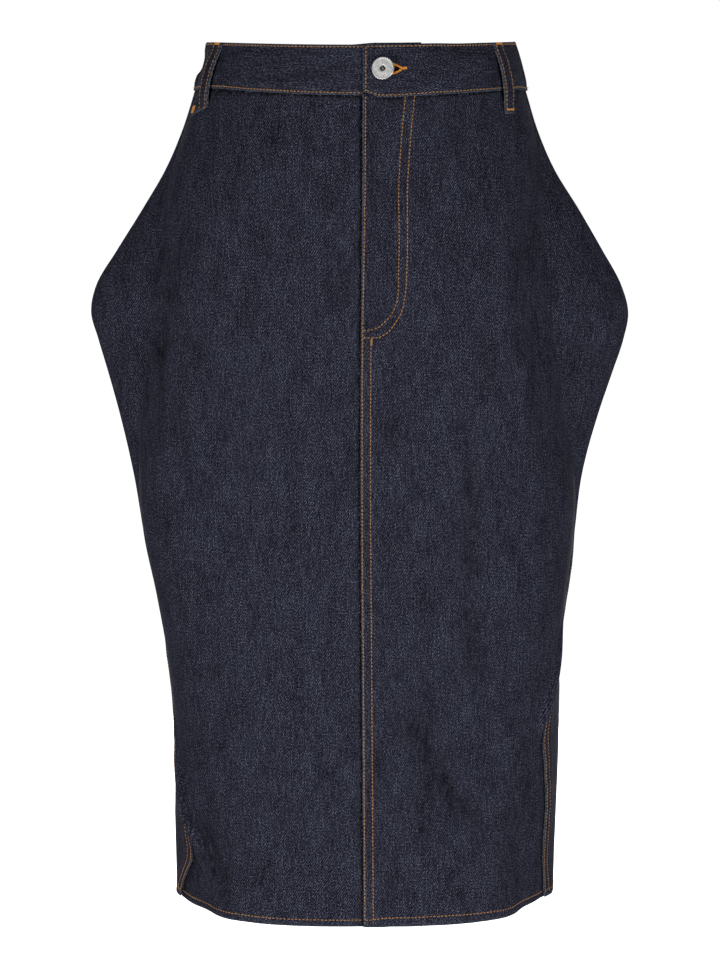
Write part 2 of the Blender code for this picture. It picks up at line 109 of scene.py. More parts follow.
OUTLINE = table(
    "down right left pouch_right pouch_left",
    (0, 122, 122, 2, 2),
    (41, 134, 134.5, 2, 2),
    (70, 143.5, 143.5, 2, 3),
    (103, 158, 158, 6, 12),
    (135, 177, 178, 18, 30),
    (168, 198, 197.5, 36, 48),
    (198, 216, 214, 47, 60),
    (219, 220, 219.5, 50, 64),
    (240, 214.5, 216, 43, 57),
    (268, 206.5, 207, 32, 44),
    (300, 198, 196.5, 20, 30),
    (350, 187, 183.5, 6, 8),
    (400, 179.5, 178, 2, 3),
    (451, 169.5, 171.5, 2, 2),
    (502, 160.5, 163.5, 2, 2),
    (538, 156, 162, 2, 2),
    (604, 153.5, 162, 2, 2),
    (705, 152.5, 161, 2, 2),
)
FIGURE = table(
    "down front back wing square",
    (0, 95, 92, 40, 2.05),
    (41, 99, 100, 45, 2.1),
    (103, 107, 115, 58, 2.35),
    (168, 111, 125, 68, 2.6),
    (219, 112, 127, 72, 2.7),
    (300, 111, 123, 67, 2.8),
    (400, 110, 117, 50, 2.9),
    (502, 110, 112, 30, 2.9),
    (604, 113, 112, 24, 2.75),
    (705, 116, 114, 24, 2.65),
)
JOIN = 6.0
SEAMS = table(
    "down fly side_right side_left",
    (0, 2.0, 12, 12),
    (118, 1.6, 10, 10),
    (298, 0.4, 9, 9),
    (398, 0.6, 9, 6),
    (450, 1.0, 8, -10),
    (498, 1.4, 2, -36),
    (532, 1.6, -14, -56),
    (558, 1.8, -30, -66),
    (588, 2.0, -46, -63),
    (618, 2.2, -58, -59),
    (645, 2.4, -66, -57),
    (663, 2.5, -64, -52),
    (690, 2.65, -38, -38),
    (705, 2.7, -28, -32),
)
FLY = table(
    "down lift flat ends",
    (0, OVERLAP_LIFT, OVERLAP_FLAT, OVERLAP_ENDS),
    (83, OVERLAP_LIFT, OVERLAP_FLAT, 78),
    (110, ZIP_LIFT, 44, 70),
    (FLY_BOTTOM, ZIP_LIFT, 36, 58),
    (250, LAYER, 12.5, LAP_ENDS),
    (LENGTH, LAYER, 12.5, LAP_ENDS),
)

# %% The large folds, and the small creases between them
# Each row is across_1, down_1, across_2, down_2, across_3, down_3, width and depth: a curve through three
# places, how far to each side of it the fold reaches, and how deep it goes in
FRONT_FOLDS = (
    (24, 521, 64, 594, 96, 653, 14, 7.0),
    (88, 305, 89, 408, 88, 513, 14, 3.0),
    (40, 403, 43, 456, 41, 508, 18, -3.0),
    (-8, 538, -10, 602, -12, 673, 28, -2.5),
    (-89, 58, -94, 281, -88, 521, 15, 2.2),
    (-20, 137, -12, 171, -4, 203, 9, 2.0),
    (32, 220, 36, 236, 37, 252, 8, 1.8),
    (-147, 573, -141, 614, -124, 680, 8, -2.6),
    (159, 468, 154, 505, 148, 543, 9, -2.2),
    (-137, 648, -136, 680, -134, 705, 17, 8.0),
    (126, 618, 139, 668, 146, 705, 18, 11.0),
    (-100, 44, -103, 78, -104, 116, 8, 1.1),
    (-72, 44, -73, 68, -72, 98, 7, 1.0),
    (-46, 44, -47, 73, -44, 106, 8, 1.0),
    (56, 44, 58, 70, 57, 102, 8, 1.0),
    (82, 44, 85, 74, 84, 110, 7, 1.1),
)
BACK_FOLDS = (
    (-30, 546, -62, 610, -94, 670, 13, 5.0),
    (92, 298, 90, 403, 84, 518, 14, 3.0),
    (-95, 328, -92, 428, -98, 533, 14, 2.6),
    (36, 418, 39, 488, 33, 563, 18, -2.8),
    (-42, 186, -62, 212, -88, 230, 10, 2.2),
    (46, 194, 64, 220, 86, 236, 10, 2.0),
    (40, 598, 62, 648, 76, 705, 16, 3.0),
    (140, 638, 136, 670, 128, 698, 9, -2.2),
    (-96, 44, -99, 76, -100, 112, 8, 1.0),
    (-58, 44, -60, 70, -58, 98, 8, 0.9),
    (60, 44, 62, 72, 61, 104, 8, 1.0),
    (94, 44, 97, 78, 98, 114, 8, 1.1),
)
FRONT_CREASES = (
    (26, 520, 64, 582, 104, 642, 9, 8.5),
    (88, 286, 89, 408, 90, 526, 6, 5.4),
    (-146, 142, -158, 225, -172, 345, 8, 5.0),
    (132, 104, 138, 215, 160, 358, 8, 4.4),
    (-20, 126, -12, 171, -4, 206, 4.5, 2.8),
    (33, 227, 39, 236, 45, 248, 3, 1.6),
    (-134, 618, -124, 653, -106, 692, 13, 7.5),
    (135, 552, 130, 605, 124, 668, 11, 2.6),
    (-14, 118, -9, 150, -3, 178, 4, 0.7),
    (-60, 150, -52, 220, -56, 300, 10, 0.7),
    (60, 120, 66, 200, 62, 290, 11, -0.7),
    (-130, 330, -118, 420, -122, 500, 9, 0.8),
    (112, 560, 118, 610, 116, 660, 8, -0.8),
    (20, 560, 44, 610, 66, 650, 6, -0.9),
    (-70, 560, -74, 630, -82, 690, 14, 0.9),
)
BACK_CREASES = (
    (-30, 546, -62, 610, -94, 670, 7.5, 6.0),
    (92, 290, 90, 403, 84, 525, 6, 4.6),
    (-95, 320, -92, 428, -98, 540, 6, 3.6),
    (-150, 150, -160, 235, -170, 345, 8, 4.8),
    (140, 115, 148, 220, 162, 350, 8, 4.6),
    (-42, 186, -62, 212, -88, 230, 5, 2.2),
    (46, 194, 64, 220, 86, 236, 5, 2.0),
    (-60, 140, -52, 220, -58, 300, 11, 0.7),
    (64, 130, 70, 210, 66, 300, 10, -0.7),
    (120, 340, 112, 430, 118, 510, 9, 0.8),
    (-20, 560, -38, 620, -60, 660, 7, -0.9),
    (84, 560, 78, 630, 86, 690, 13, 0.8),
)
# A fold in each front panel, just before the lower part of its side seam: how high it stands
SEAM_RIDGES = table(
    "down right left",
    (455, 0, 0), (480, 0, 2.5), (505, 0, 4.5), (530, 0, 6.5), (542, 0, 7.0), (552, 0, 4.0), (564, 0.5, 0),
    (580, 2.0, 0), (598, 4.3, 0), (612, 6.0, 0), (624, 7.1, 0), (634, 7.1, 0), (646, 5.0, 0), (664, 0, 0),
)
RIDGE_AWAY, RIDGE_WIDTH, RIDGE_WORN, RIDGE_RUB = 5.0, 4.2, 1.5, 0.09
# How much fuller the cloth hangs at the very sides, below the wings
FULL_SIDES = table(
    "down right left",
    (480, 0, 0), (505, 0, 2.4), (530, 0, 4.8), (560, 0, 5.2), (590, 1.2, 4.5), (615, 2.2, 3.8), (640, 3.0, 3.2),
    (665, 2.7, 2.6), (705, 2.0, 2.2),
)
print("folds:", len(FRONT_FOLDS) + len(BACK_FOLDS), "and creases:", len(FRONT_CREASES) + len(BACK_CREASES))


# %% Reading the tables
def curve_through(places, values, at):
    """The height at any place of a smooth curve through these points."""
    slopes = np.gradient(values, places)
    at = np.asarray(at, float)
    low = np.clip(np.searchsorted(places, at) - 1, 0, len(places) - 2)
    step = places[low + 1] - places[low]
    t = (at - places[low]) / step
    inside = np.clip(t, 0, 1)
    smooth = (
        (1 + 2 * inside) * (1 - inside) ** 2 * values[low]
        + inside * (1 - inside) ** 2 * step * slopes[low]
        + inside**2 * (3 - 2 * inside) * values[low + 1]
        + inside**2 * (inside - 1) * step * slopes[low + 1]
    )
    return smooth + (t - inside) * step * np.where(t < 0, slopes[low], slopes[low + 1])


def column(sizes, name, down):
    """A table's column at any height, along a smooth curve through its rows."""
    return curve_through(sizes["down"], sizes[name], down)


def straight(sizes, name, down):
    """A table's column in straight steps, where a curve could overshoot."""
    return np.interp(down, sizes["down"], sizes[name])


def ease(value, start, end):
    """0 up to start and 1 from end on, with a soft step between."""
    t = np.clip((value - start) / (end - start), 0, 1)
    return t * t * (3 - 2 * t)


def bell(distance, width):
    """1 at a line, and fading out to both sides of it in the shape of a bell."""
    return np.exp(-((distance / width) ** 2))


def unit(vectors):
    """The same directions, each of length 1."""
    return vectors / np.linalg.norm(vectors, axis=-1, keepdims=True)


# %% [markdown]
# ## The skin
# The skin is one surface that all the cloth lies on. At every height its section is a rounded figure,
# joined to a flatter oval that makes the stiff wings at the hips. The join leaves the long hollow that
# real denim has where a wing leaves the body. Folds push the skin in or out along curves.


# %% The bare skin
def bare_skin(angle, down):
    """The skin without folds. angle is 0 at the centre front and a quarter turn at the left side."""

    def either(which, sizes, first, second):
        return np.where(which, column(sizes, first, down), column(sizes, second, down))

    left, front = np.sin(angle) >= 0, np.cos(angle) >= 0
    half = either(left, OUTLINE, "left", "right")
    pouch = either(left, OUTLINE, "pouch_left", "pouch_right")
    depth = either(front, FIGURE, "front", "back")
    wing = column(FIGURE, "wing", down) * np.abs(np.cos(angle))
    square = column(FIGURE, "square", down)
    across = half * np.sin(angle)
    share = np.minimum(np.abs(across) / (half - pouch), 1)
    figure = depth * (1 - share**square) ** (1 / square)
    reach = (figure**JOIN + wing**JOIN) ** (1 / JOIN)
    dip = FRONT_DIP * np.where(front, np.abs(np.cos(angle)) ** DIP_ROUNDS, 0)
    dip = dip * np.clip(1 - down / DIP_FADES, 0, 2) ** 2
    return np.stack([across, np.where(front, -reach, reach), -down - dip], axis=-1)


# %% Lengths of cloth round the skin
TABLE_STEP, TURN_STEPS = 2.0, 1440
TABLE_DOWN = np.arange(-8.0, LENGTH + 8, TABLE_STEP)
TABLE_ROUND = np.arange(-620.0, 1000.0, 1.0)


def angle_tables():
    """For each height, the angle at every millimetre of cloth, and the lengths to the quarter lines."""
    turn = np.linspace(-math.pi, math.pi, TURN_STEPS + 1)
    angles, down = np.meshgrid(turn, TABLE_DOWN)
    steps = np.linalg.norm(np.diff(bare_skin(angles, down), axis=1), axis=2)
    lengths = np.hstack([np.zeros((len(TABLE_DOWN), 1)), np.cumsum(steps, axis=1)])
    front = TURN_STEPS // 2
    lengths -= lengths[:, front : front + 1]
    read = np.empty((len(TABLE_DOWN), len(TABLE_ROUND)))
    for index, row in enumerate(lengths):
        whole = row[-1] - row[0]
        turns = np.floor((TABLE_ROUND - row[0]) / whole)
        read[index] = np.interp(TABLE_ROUND - turns * whole, row, turn) + turns * math.tau
    quarters = {quarter: lengths[:, front + quarter * TURN_STEPS // 4] for quarter in (-2, -1, 1, 2)}
    return read, quarters


ANGLES, QUARTERS = angle_tables()
print("the skin's widest round:", round(float((QUARTERS[2] - QUARTERS[-2]).max())), "mm")


def angle_of(round_, down):
    """The angle at which a place on the cloth lies."""
    row = np.clip((down - TABLE_DOWN[0]) / TABLE_STEP, 0, len(TABLE_DOWN) - 1.001)
    col = np.clip(round_ - TABLE_ROUND[0], 0, len(TABLE_ROUND) - 1.001)
    r, c = row.astype(int), col.astype(int)
    over, along = row - r, col - c
    upper = ANGLES[r, c] * (1 - along) + ANGLES[r, c + 1] * along
    lower = ANGLES[r + 1, c] * (1 - along) + ANGLES[r + 1, c + 1] * along
    return upper * (1 - over) + lower * over


def round_at(down, quarter):
    """The cloth's length from the centre front to a quarter line: 1 is the left side, 2 the centre back."""
    return np.interp(down, TABLE_DOWN, QUARTERS[quarter])


# %% Where the seams run
def seam(name, down):
    """Where a seam runs: its place round from the centre front, or from the side."""
    return column(SEAMS, name, down)


def side_seam(side, down):
    """Where a side seam's lapped edge runs, round from the centre front."""
    if side == "left":
        return round_at(down, 1) + seam("side_left", down)
    return round_at(down, -1) - seam("side_right", down)


# %% Folds and creases
# The second size is the crease depth at which the painted shade in its bottom is full
CREASE_ROUND, CREASE_SHADE_DEPTH = 1.3, 4.6
CURVE_STEPS, FOLD_REACH, FOLD_SPARE = 41, 3.2, 12
FACING_FADES = (8, 40)


def facing(points, way):
    """1 on the front, for way -1, or on the back, for way 1, and fading out towards the sides."""
    return ease(way * points[..., 1], *FACING_FADES)


def folds_near(points, down):
    """For each fold or crease: which points are near it, its share there, its depth, and if it is sharp."""
    across = points[..., 0]
    for rows, way, sharp in (
        (FRONT_FOLDS, -1, False),
        (BACK_FOLDS, 1, False),
        (FRONT_CREASES, -1, True),
        (BACK_CREASES, 1, True),
    ):
        on_side = facing(points, way)
        for *places, width, depth in rows:
            xs, zs, margin = places[0::2], places[1::2], FOLD_REACH * width
            near = (across > min(xs) - margin - FOLD_SPARE) & (across < max(xs) + margin + FOLD_SPARE)
            near &= (down > min(zs) - margin) & (down < max(zs) + margin) & (on_side > 0)
            if not near.any():
                continue
            x, z = across[near], down[near]
            nearest, along = np.full(x.shape, 1e9), np.zeros(x.shape)
            for t in np.linspace(0, 1, CURVE_STEPS):
                weights = ((1 - t) * (1 - 2 * t), 4 * t * (1 - t), t * (2 * t - 1))
                across_t, down_t = (sum(w * v for w, v in zip(weights, values)) for values in (xs, zs))
                away = np.hypot(x - across_t, z - down_t)
                along = np.where(away < nearest, t, along)
                nearest = np.minimum(nearest, away)
            # A fold fades out at both ends, unless it runs down to the hem
            taper = np.sin(np.pi * (along * 0.5 if zs[-1] >= LENGTH else along) * 0.96 + 0.06)
            shape = bell(nearest, width)
            if sharp:
                far = (np.hypot(nearest, CREASE_ROUND) - CREASE_ROUND) / width
                shape = np.exp(-far) * np.clip(1 - (far / 3) ** 2, 0, 1) ** 2
            yield near, on_side[near] * taper * shape, depth, sharp


# %% What the folds do to the cloth
def fold_relief(points, down):
    """How far the folds and creases move each point of the skin outwards."""
    relief = np.zeros(points.shape[:-1])
    for near, share, depth, _ in folds_near(points, down):
        relief[near] -= depth * share
    return relief


def crease_shade(points, down):
    """How much painted shade darkens the bottoms of the creases, from 0 to 1."""
    shaded = np.zeros(points.shape[:-1])
    for near, share, depth, sharp in folds_near(points, down):
        if sharp and depth > 1:
            shaded[near] = np.maximum(shaded[near], share * depth / CREASE_SHADE_DEPTH)
    return shaded


# %% The fold before each side seam
def seam_ridge(round_, down, width):
    """The fold, this wide, that hides the seam's rows from the front low at each side."""
    ridge = np.zeros(round_.shape)
    for side, way in (("left", 1), ("right", -1)):
        away = (side_seam(side, down) - round_) * way - RIDGE_AWAY
        ridge += straight(SEAM_RIDGES, side, down) * bell(away, width)
    return ridge


# %% [markdown]
# ## Crinkles
# Raw denim is never quite flat. It has soft waves all over, and thread drawn tight makes small puckers
# along each seam. Both come from smooth noise on a lattice, so they are the same on every run, and every
# layer that lies on the skin follows them alike.


# %% Soft noise and the puckers
WAVE_HIGH, RIPPLE_HIGH = 0.75, 0.28
PUCKER_HIGH, PUCKER_WIDTH, HEM_PUCKER, BAND_PUCKER = 0.24, 5.5, 0.26, 0.2


def soft_noise(x, y, seed):
    """Smooth noise from -1 to 1, about one bump a unit."""
    x, y = np.broadcast_arrays(np.asarray(x, float), np.asarray(y, float))
    left, top = np.floor(x), np.floor(y)
    across, along = x - left, y - top
    across = across * across * (3 - 2 * across)
    along = along * along * (3 - 2 * along)

    def corner(right, below):
        mixed = np.sin((left + right) * 127.1 + (top + below) * 311.7 + seed * 74.7) * 4375.85
        return 2 * (mixed - np.floor(mixed)) - 1

    upper = corner(0, 0) * (1 - across) + corner(1, 0) * across
    lower = corner(0, 1) * (1 - across) + corner(1, 1) * across
    return upper * (1 - along) + lower * along


def crinkle(points, round_, down):
    """The cloth's own unevenness, outwards."""
    relief = np.zeros(round_.shape)
    for way, seed in ((-1, 1), (1, 2)):
        waves = WAVE_HIGH * soft_noise(points[..., 0] / 34, down / 88, seed)
        waves += RIPPLE_HIGH * soft_noise(points[..., 0] / 13 + 7, down / 44, seed + 10)
        relief += facing(points, way) * waves
    relief *= 0.35 + 0.65 * ease(down, BAND, BAND + 20)
    seams = (
        (round_ - seam("fly", down) - 4, 3),
        (round_ - side_seam("left", down) - 5, 4),
        (round_ - side_seam("right", down) + 5, 5),
        (round_ - round_at(down, 2) + 5, 6),
        (round_ - round_at(down, -2) + 5, 6),
    )
    for away, seed in seams:
        puckers = soft_noise(down / PUCKER_WIDTH + away / 14, 0, seed)
        relief += PUCKER_HIGH * bell(away, PUCKER_WIDTH) * puckers
    puckers = soft_noise(round_ / 7 + (LENGTH - down) / 8, 0, 8)
    relief += HEM_PUCKER * bell(LENGTH - 5 - down, 6) * puckers
    return relief + BAND_PUCKER * bell(BAND + 4 - down, 6) * soft_noise(round_ / 6.5, 0, 9)


# %% The finished skin
def smooth_skin(round_, down):
    """The skin without folds, and its outward normals."""
    angle = angle_of(round_, down)
    turn, drop = 0.002, 0.5
    along = bare_skin(angle + turn, down) - bare_skin(angle - turn, down)
    fall = bare_skin(angle, down + drop) - bare_skin(angle, down - drop)
    return bare_skin(angle, down), unit(np.cross(fall, along))


SIDE_TAPS = np.linspace(-12, 12, 13)
SIDE_WEIGHTS = bell(SIDE_TAPS, 6.5)
SIDE_WEIGHTS /= SIDE_WEIGHTS.sum()
SIDE_TOP, SIDE_EVEN, SIDE_WIDE, SIDE_FULL = 335, 390, 28, 32


def skin(round_, down):
    """Points of the skin at these places, folds and crinkles included, and its outward normals."""
    round_, down = np.broadcast_arrays(np.asarray(round_, float), np.asarray(down, float))
    points, normal = smooth_skin(round_, down)
    # Below the wings each side ends in a sharp corner, so it is evened out with the cloth beside it
    near = (np.abs(points[..., 1]) < SIDE_WIDE) & (down > SIDE_TOP)
    share = ease(down[near], SIDE_TOP, SIDE_EVEN)[:, None]
    share = share * (1 - ease(np.abs(points[near][:, 1:2]), SIDE_WIDE / 2, SIDE_WIDE))
    taps = [smooth_skin(round_[near] + tap, down[near]) for tap in SIDE_TAPS]
    for values, which in ((points, 0), (normal, 1)):
        even = sum(weight * tap[which] for weight, tap in zip(SIDE_WEIGHTS, taps))
        values[near] = values[near] * (1 - share) + even * share
    normal = unit(normal)
    relief = fold_relief(points, down) + crinkle(points, round_, down)
    relief += seam_ridge(round_, down, RIDGE_WIDTH)
    side = [straight(FULL_SIDES, name, down) for name in ("right", "left")]
    relief += np.where(points[..., 0] < 0, *side) * bell(points[..., 1], SIDE_FULL)
    return points + normal * relief[..., None], normal


# %% [markdown]
# ## Making cloth
# A sheet of cloth could be a plane with a Solidify modifier. A sewn edge is different: it is folded, so its
# thickness rounds over, and its inside lies at its own height. So each piece is a grid of places with an outer
# and an inner height above the skin, closed round its edges. Its UV map is in millimetres of cloth, so that the
# weave runs along the cloth on every piece. One attribute is above 0 at the folded edges, where the dye rubs
# off first, and below 0 in creases, beside seams and under the waistband, where it is painted shade.


# %% A closed sheet of cloth
# The second size is how strongly painted shade darkens the bottoms of the creases
UNDERSIDE_SHIFT, CREASE_SHADE_STRENGTH = 3.0, 0.8


def put_in_scene(name, data):
    """A new object for this mesh, light or camera, at the origin."""
    made = bpy.data.objects.new(name, data)
    bpy.context.collection.objects.link(made)
    return made


def cloth(name, round_, down, inner, outer, wear_and_shade, materials, sideways=False, open_cells=None):
    """A sheet between two heights above the skin. open_cells marks cells of the grid that are cut out."""
    rows, columns = round_.shape
    points, normal = skin(round_, down)
    zero = np.zeros(round_.shape)
    sides = [(points + normal * (offset + zero)[..., None]).reshape(-1, 3) for offset in (outer, inner)]
    count = rows * columns
    index = np.arange(count).reshape(rows, columns)
    corners = (index[:-1, :-1], index[1:, :-1], index[1:, 1:], index[:-1, 1:])
    quads = np.stack(corners, axis=-1).reshape(-1, 4)
    if open_cells is not None:
        quads = quads[~open_cells.ravel()]
    starts, ends = quads.ravel(), np.roll(quads, -1, axis=1).ravel()
    rim = ~np.isin(starts * count + ends, ends * count + starts)
    starts, ends = starts[rim], ends[rim]
    edge = np.stack([ends, starts, starts + count, ends + count], axis=-1)
    faces = np.concatenate([quads, quads[:, ::-1] + count, edge])
    mesh = bpy.data.meshes.new(name)
    mesh.from_pydata((np.concatenate(sides) * MM).tolist(), [], faces.tolist())
    cut = np.stack([down, round_] if sideways else [round_, down], axis=-1).reshape(-1, 2)
    cut = np.concatenate([cut, cut + UNDERSIDE_SHIFT])
    weave = mesh.uv_layers.new(name="weave")
    weave.data.foreach_set("uv", cut[faces.ravel()].astype(np.float32).ravel())
    # Painted shade: the cloth is darkened in the bottoms of the creases
    wear_and_shade = wear_and_shade - CREASE_SHADE_STRENGTH * crease_shade(points, down + zero)
    # This attribute carries real wear above 0 and painted shade below 0
    rubbed = mesh.attributes.new("wear_and_shade", "FLOAT", "POINT")
    rubbed.data.foreach_set("value", np.tile((wear_and_shade + zero).ravel(), 2).astype(np.float32))
    for material in materials:
        mesh.materials.append(material)
    inside = np.zeros(len(faces), np.int32)
    inside[len(quads) : 2 * len(quads)] = len(materials) - 1
    mesh.polygons.foreach_set("material_index", inside)
    mesh.shade_smooth()
    mesh.update()
    print(f"{name}: {len(faces)} faces")
    return put_in_scene(name, mesh)


def rolled(distance, radius):
    """How far a folded edge rounds away, at this distance in from it."""
    left = np.clip(radius - distance, 0, radius)
    return radius - np.sqrt(radius**2 - left**2)


def near_edge(distance, flat, reach):
    """1 up to a distance from an edge, and fading out beyond it."""
    return np.exp(-np.maximum(distance - flat, 0) / reach)


def groove(distance, width=0.9):
    """The furrow that a tight row of stitches draws into the cloth."""
    return 0.2 * bell(distance, width)


# %% [markdown]
# ## Denim
# Denim is a twill: dark blue threads run up the cloth and pass over three pale ones, which show between
# them as short slanting lines. Seen from a step away it is a dark blue with a fine pale speckle, long
# streaks where the dyed threads are thicker, and soft cloudy patches. A picture of cloth would be simpler,
# but nodes keep their sharpness at any distance. All patterns read the weave map, in millimetres.


# %% A finish: a material, and short ways to add its nodes
class Finish:
    """A material whose constant values are set on its shader's own sockets."""

    def __init__(self, name, roughness, specular, sheen=0.0, metallic=0.0):
        self.material = bpy.data.materials.new(name)
        self.material.use_nodes = True
        self.tree = self.material.node_tree
        self.shader = self.tree.nodes["Principled BSDF"]
        names = ("Roughness", "Specular IOR Level", "Sheen Weight", "Metallic")
        self.wire(self.shader, dict(zip(names, (roughness, specular, sheen, metallic))))

    def wire(self, node, inputs):
        """Fill a node's inputs, each with a constant or with another node's output."""
        for name, value in inputs.items():
            if isinstance(value, bpy.types.NodeSocket):
                self.tree.links.new(value, node.inputs[name])
            else:
                node.inputs[name].default_value = value

    def node(self, kind, inputs, **settings):
        """A new node with these settings and inputs."""
        node = self.tree.nodes.new("ShaderNode" + kind)
        for name, value in settings.items():
            setattr(node, name, value)
        self.wire(node, inputs)
        return node

    def math(self, operation, *values):
        return self.node("Math", dict(enumerate(values)), operation=operation).outputs[0]

    def plus(self, total, factor, value):
        """The total plus a factor times the value."""
        return self.math("MULTIPLY_ADD", value, factor, total)

    def cut_map(self, name):
        """The piece's own map: millimetres of cloth, or turns and lengths of thread."""
        return self.node("UVMap", {}, uv_map=name).outputs[0]

    def parts(self, place):
        """The two numbers of a place on a map."""
        return self.node("SeparateXYZ", {0: place}).outputs[:2]

    def threads(self, place, across, along, detail=1.0):
        """Noise with bumps this many millimetres wide and long on the cloth."""
        scale = {0: place, 1: (1 / across, 1 / along, 1)}
        inputs = {"Vector": self.node("VectorMath", scale, operation="MULTIPLY").outputs[0]}
        inputs.update({"Scale": 1.0, "Detail": detail, "Roughness": 0.6})
        return self.node("TexNoise", inputs, noise_dimensions="2D").outputs[0]

    def mottle(self, scale, detail):
        """Noise through the piece's whole body, with about this many bumps a metre."""
        place = self.node("TexCoord", {}).outputs["Object"]
        return self.node("TexNoise", {"Vector": place, "Scale": scale, "Detail": detail}).outputs[0]

    def ramp(self, value, stops):
        """A colour ramp with these stops: position, red, green, blue."""
        ramp = self.node("ValToRGB", {0: value})
        elements = ramp.color_ramp.elements
        while len(elements) < len(stops):
            elements.new(0.5)
        for element, (position, *colour) in zip(elements, stops):
            element.position = position
            element.color = (*colour, 1)
        return ramp.outputs[0]

    def bump(self, height, millimetres, strength=1.0):
        inputs = {"Height": height, "Distance": millimetres * MM, "Strength": strength}
        return self.node("Bump", inputs).outputs[0]

    def mix(self, factor, under, over, **settings):
        """Two colours mixed by a factor."""
        inputs = {"Factor": factor, "A": under, "B": over}
        return self.node("Mix", inputs, data_type="RGBA", **settings).outputs["Result"]

    def done(self, colour, **inputs):
        """Wire the shader, and give the material."""
        self.wire(self.shader, {"Base Color": colour, **inputs})
        return self.material


# %% Denim's sizes and colours
WALE_ACROSS, WALE_DOWN = 1.9, 2.8
FACE_STOPS = (
    (0.0, 0.0045, 0.0047, 0.0108),
    (0.34, 0.0140, 0.0145, 0.0253),
    (0.58, 0.0285, 0.0295, 0.0468),
    (0.82, 0.0560, 0.0585, 0.0840),
    (1.0, 0.1150, 0.1190, 0.1530),
)
# Where the dye lies thick the cloth is darker and duller, and where it is thin it is lighter and bluer. The
# lowest stops also carry the painted shade in creases, beside seams and under the waistband.
DYE_AND_SHADE_STOPS = (
    (0.0, 0.16, 0.15, 0.16),
    (0.18, 0.44, 0.41, 0.43),
    (0.34, 0.80, 0.77, 0.79),
    (0.50, 1.0, 1.0, 1.0),
    (0.72, 1.25, 1.32, 1.30),
)
BACK_STOPS = (
    (0.0, 0.030, 0.034, 0.058),
    (0.4, 0.085, 0.092, 0.125),
    (0.7, 0.190, 0.200, 0.235),
    (1.0, 0.340, 0.350, 0.370),
)


# %% Denim's face and back
def denim(name, stops, worn_colour):
    """Twill from threads, wales, streaks and clouds."""
    finish = Finish(name, 0.9, 0.06)
    place = finish.cut_map("weave")
    across, down = finish.parts(place)
    speckle, streaks, picks = (finish.threads(place, *size) for size in ((0.95, 1.25), (1.1, 15), (9, 1.1)))
    slubs, clouds = finish.threads(place, 2.6, 9, 2.0), finish.threads(place, 15, 46, 2.5)
    slant = finish.math("MULTIPLY", across, math.tau / WALE_ACROSS)
    slant = finish.plus(finish.plus(slant, math.tau / WALE_DOWN, down), 2.5, streaks)
    wale = finish.math("SINE", slant)
    value = -1.005
    for factor, part in ((2.05, speckle), (0.55, streaks), (0.22, picks), (0.22, wale)):
        value = finish.plus(value, factor, part)
    wear_and_shade = finish.node("Attribute", {}, attribute_name="wear_and_shade").outputs["Fac"]
    dye_and_shade = finish.plus(finish.plus(-0.14, 0.66, clouds), 0.62, slubs)
    # Painted shade: where the attribute is below 0 the cloth is darkened
    dye_and_shade = finish.plus(dye_and_shade, 0.26, finish.math("MINIMUM", wear_and_shade, 0.0))
    colour = finish.mix(1.0, finish.ramp(value, stops), finish.ramp(dye_and_shade, DYE_AND_SHADE_STOPS), blend_type="MULTIPLY")
    rub = finish.math("MULTIPLY", wear_and_shade, finish.plus(-0.15, 1.5, value))
    colour = finish.mix(rub, colour, (*worn_colour, 1), clamp_factor=True)
    height = finish.plus(finish.plus(speckle, 0.25, wale), 1.2, streaks)
    return finish.done(colour, Normal=finish.bump(height, 0.12, 0.55))


DENIM = [
    denim("denim_face", FACE_STOPS, (0.098, 0.116, 0.152)),
    denim("denim_back", BACK_STOPS, (0.3, 0.31, 0.33)),
]
print("denim: face and back")

# %% [markdown]
# ## The panels
# Four panels make the skirt: two fronts and two backs. The wearer's left front laps over the right one at
# the fly, each back laps over its front at the side, and the left back laps over the right one. Where
# one edge lies on another, it is lifted by the cloth beneath it and comes down again further in.

# %% How far the laps lift an edge
ROW_STEP = 2.8
HEM_STITCH = ((-300, 6.0), (-2, 5.6), (6, 5.8), (18, 7.4), (70, 7.8), (130, 6.8), (190, 5.6), (640, 5.6))
EDGE_ROW, SECOND_ROW = 2.0, 8.4
HEM_ROWS = (
    11.5, 10.4, 9.7, 9.0, 8.2, 7.4, 6.6, 6.1, 5.6, 5.1, 4.6, 3.8, 3.0, 2.2, 1.5, 0.95, 0.5, 0.2, 0.05, 0,
)
BAND_ROWS = (BAND - TUCK, 35, 38, 39.6, 40.4, 41, 41.6, 42.3, 43.2, 44.4, 46)
EVEN_ROWS = np.arange(48.0, LENGTH - 12.5, ROW_STEP)
PANEL_ROWS = np.concatenate([BAND_ROWS, EVEN_ROWS, LENGTH - np.array(HEM_ROWS)])


def whole_grid(rows, round_):
    """The rows' heights at every place of a piece's grid."""
    return np.repeat(rows[:, None], round_.shape[1], axis=1)


def between(places, at):
    """The value at any place of a list of places and values, in straight steps."""
    return np.interp(at, *zip(*places))


def fly_lift(distance, down):
    """How far the fly's edge, and the waistband's overlap with it, stand off the skin."""
    lift, flat, ends = (straight(FLY, name, down) for name in ("lift", "flat", "ends"))
    return lift * (1 - ease(distance, flat, ends))


def lap_lift(distance):
    """How far an edge stands off the skin where it laps over the next panel."""
    return LAYER * (1 - ease(distance, LAP, LAP_ENDS))


def hem_turn(down, distance):
    """The turned hem's inner layers, left out where the panel lies on another."""
    in_hem = ease(down, LENGTH - HEM - 0.9, LENGTH - HEM - 0.1)
    return HEM_TURN * in_hem * ease(distance, LAP + 4, LAP + 9)


def spread(start, end, near_start, near_end, step):
    """Rows of places from start to end: fine ones at set distances from each end, and even ones between."""
    first = start[:, None] + np.array(near_start, float)
    last = end[:, None] - np.array(near_end[::-1], float)
    count = int(np.ceil((last[:, 0] - first[:, -1]).max() / step))
    t = np.linspace(0, 1, count + 1)[1:-1]
    return np.hstack([first, first[:, -1:] * (1 - t) + last[:, :1] * t, last])


# %% The line of the waistband's bottom edge
HALF_ROUND = 300  # between the overlap's end of the waistband and its underlap's
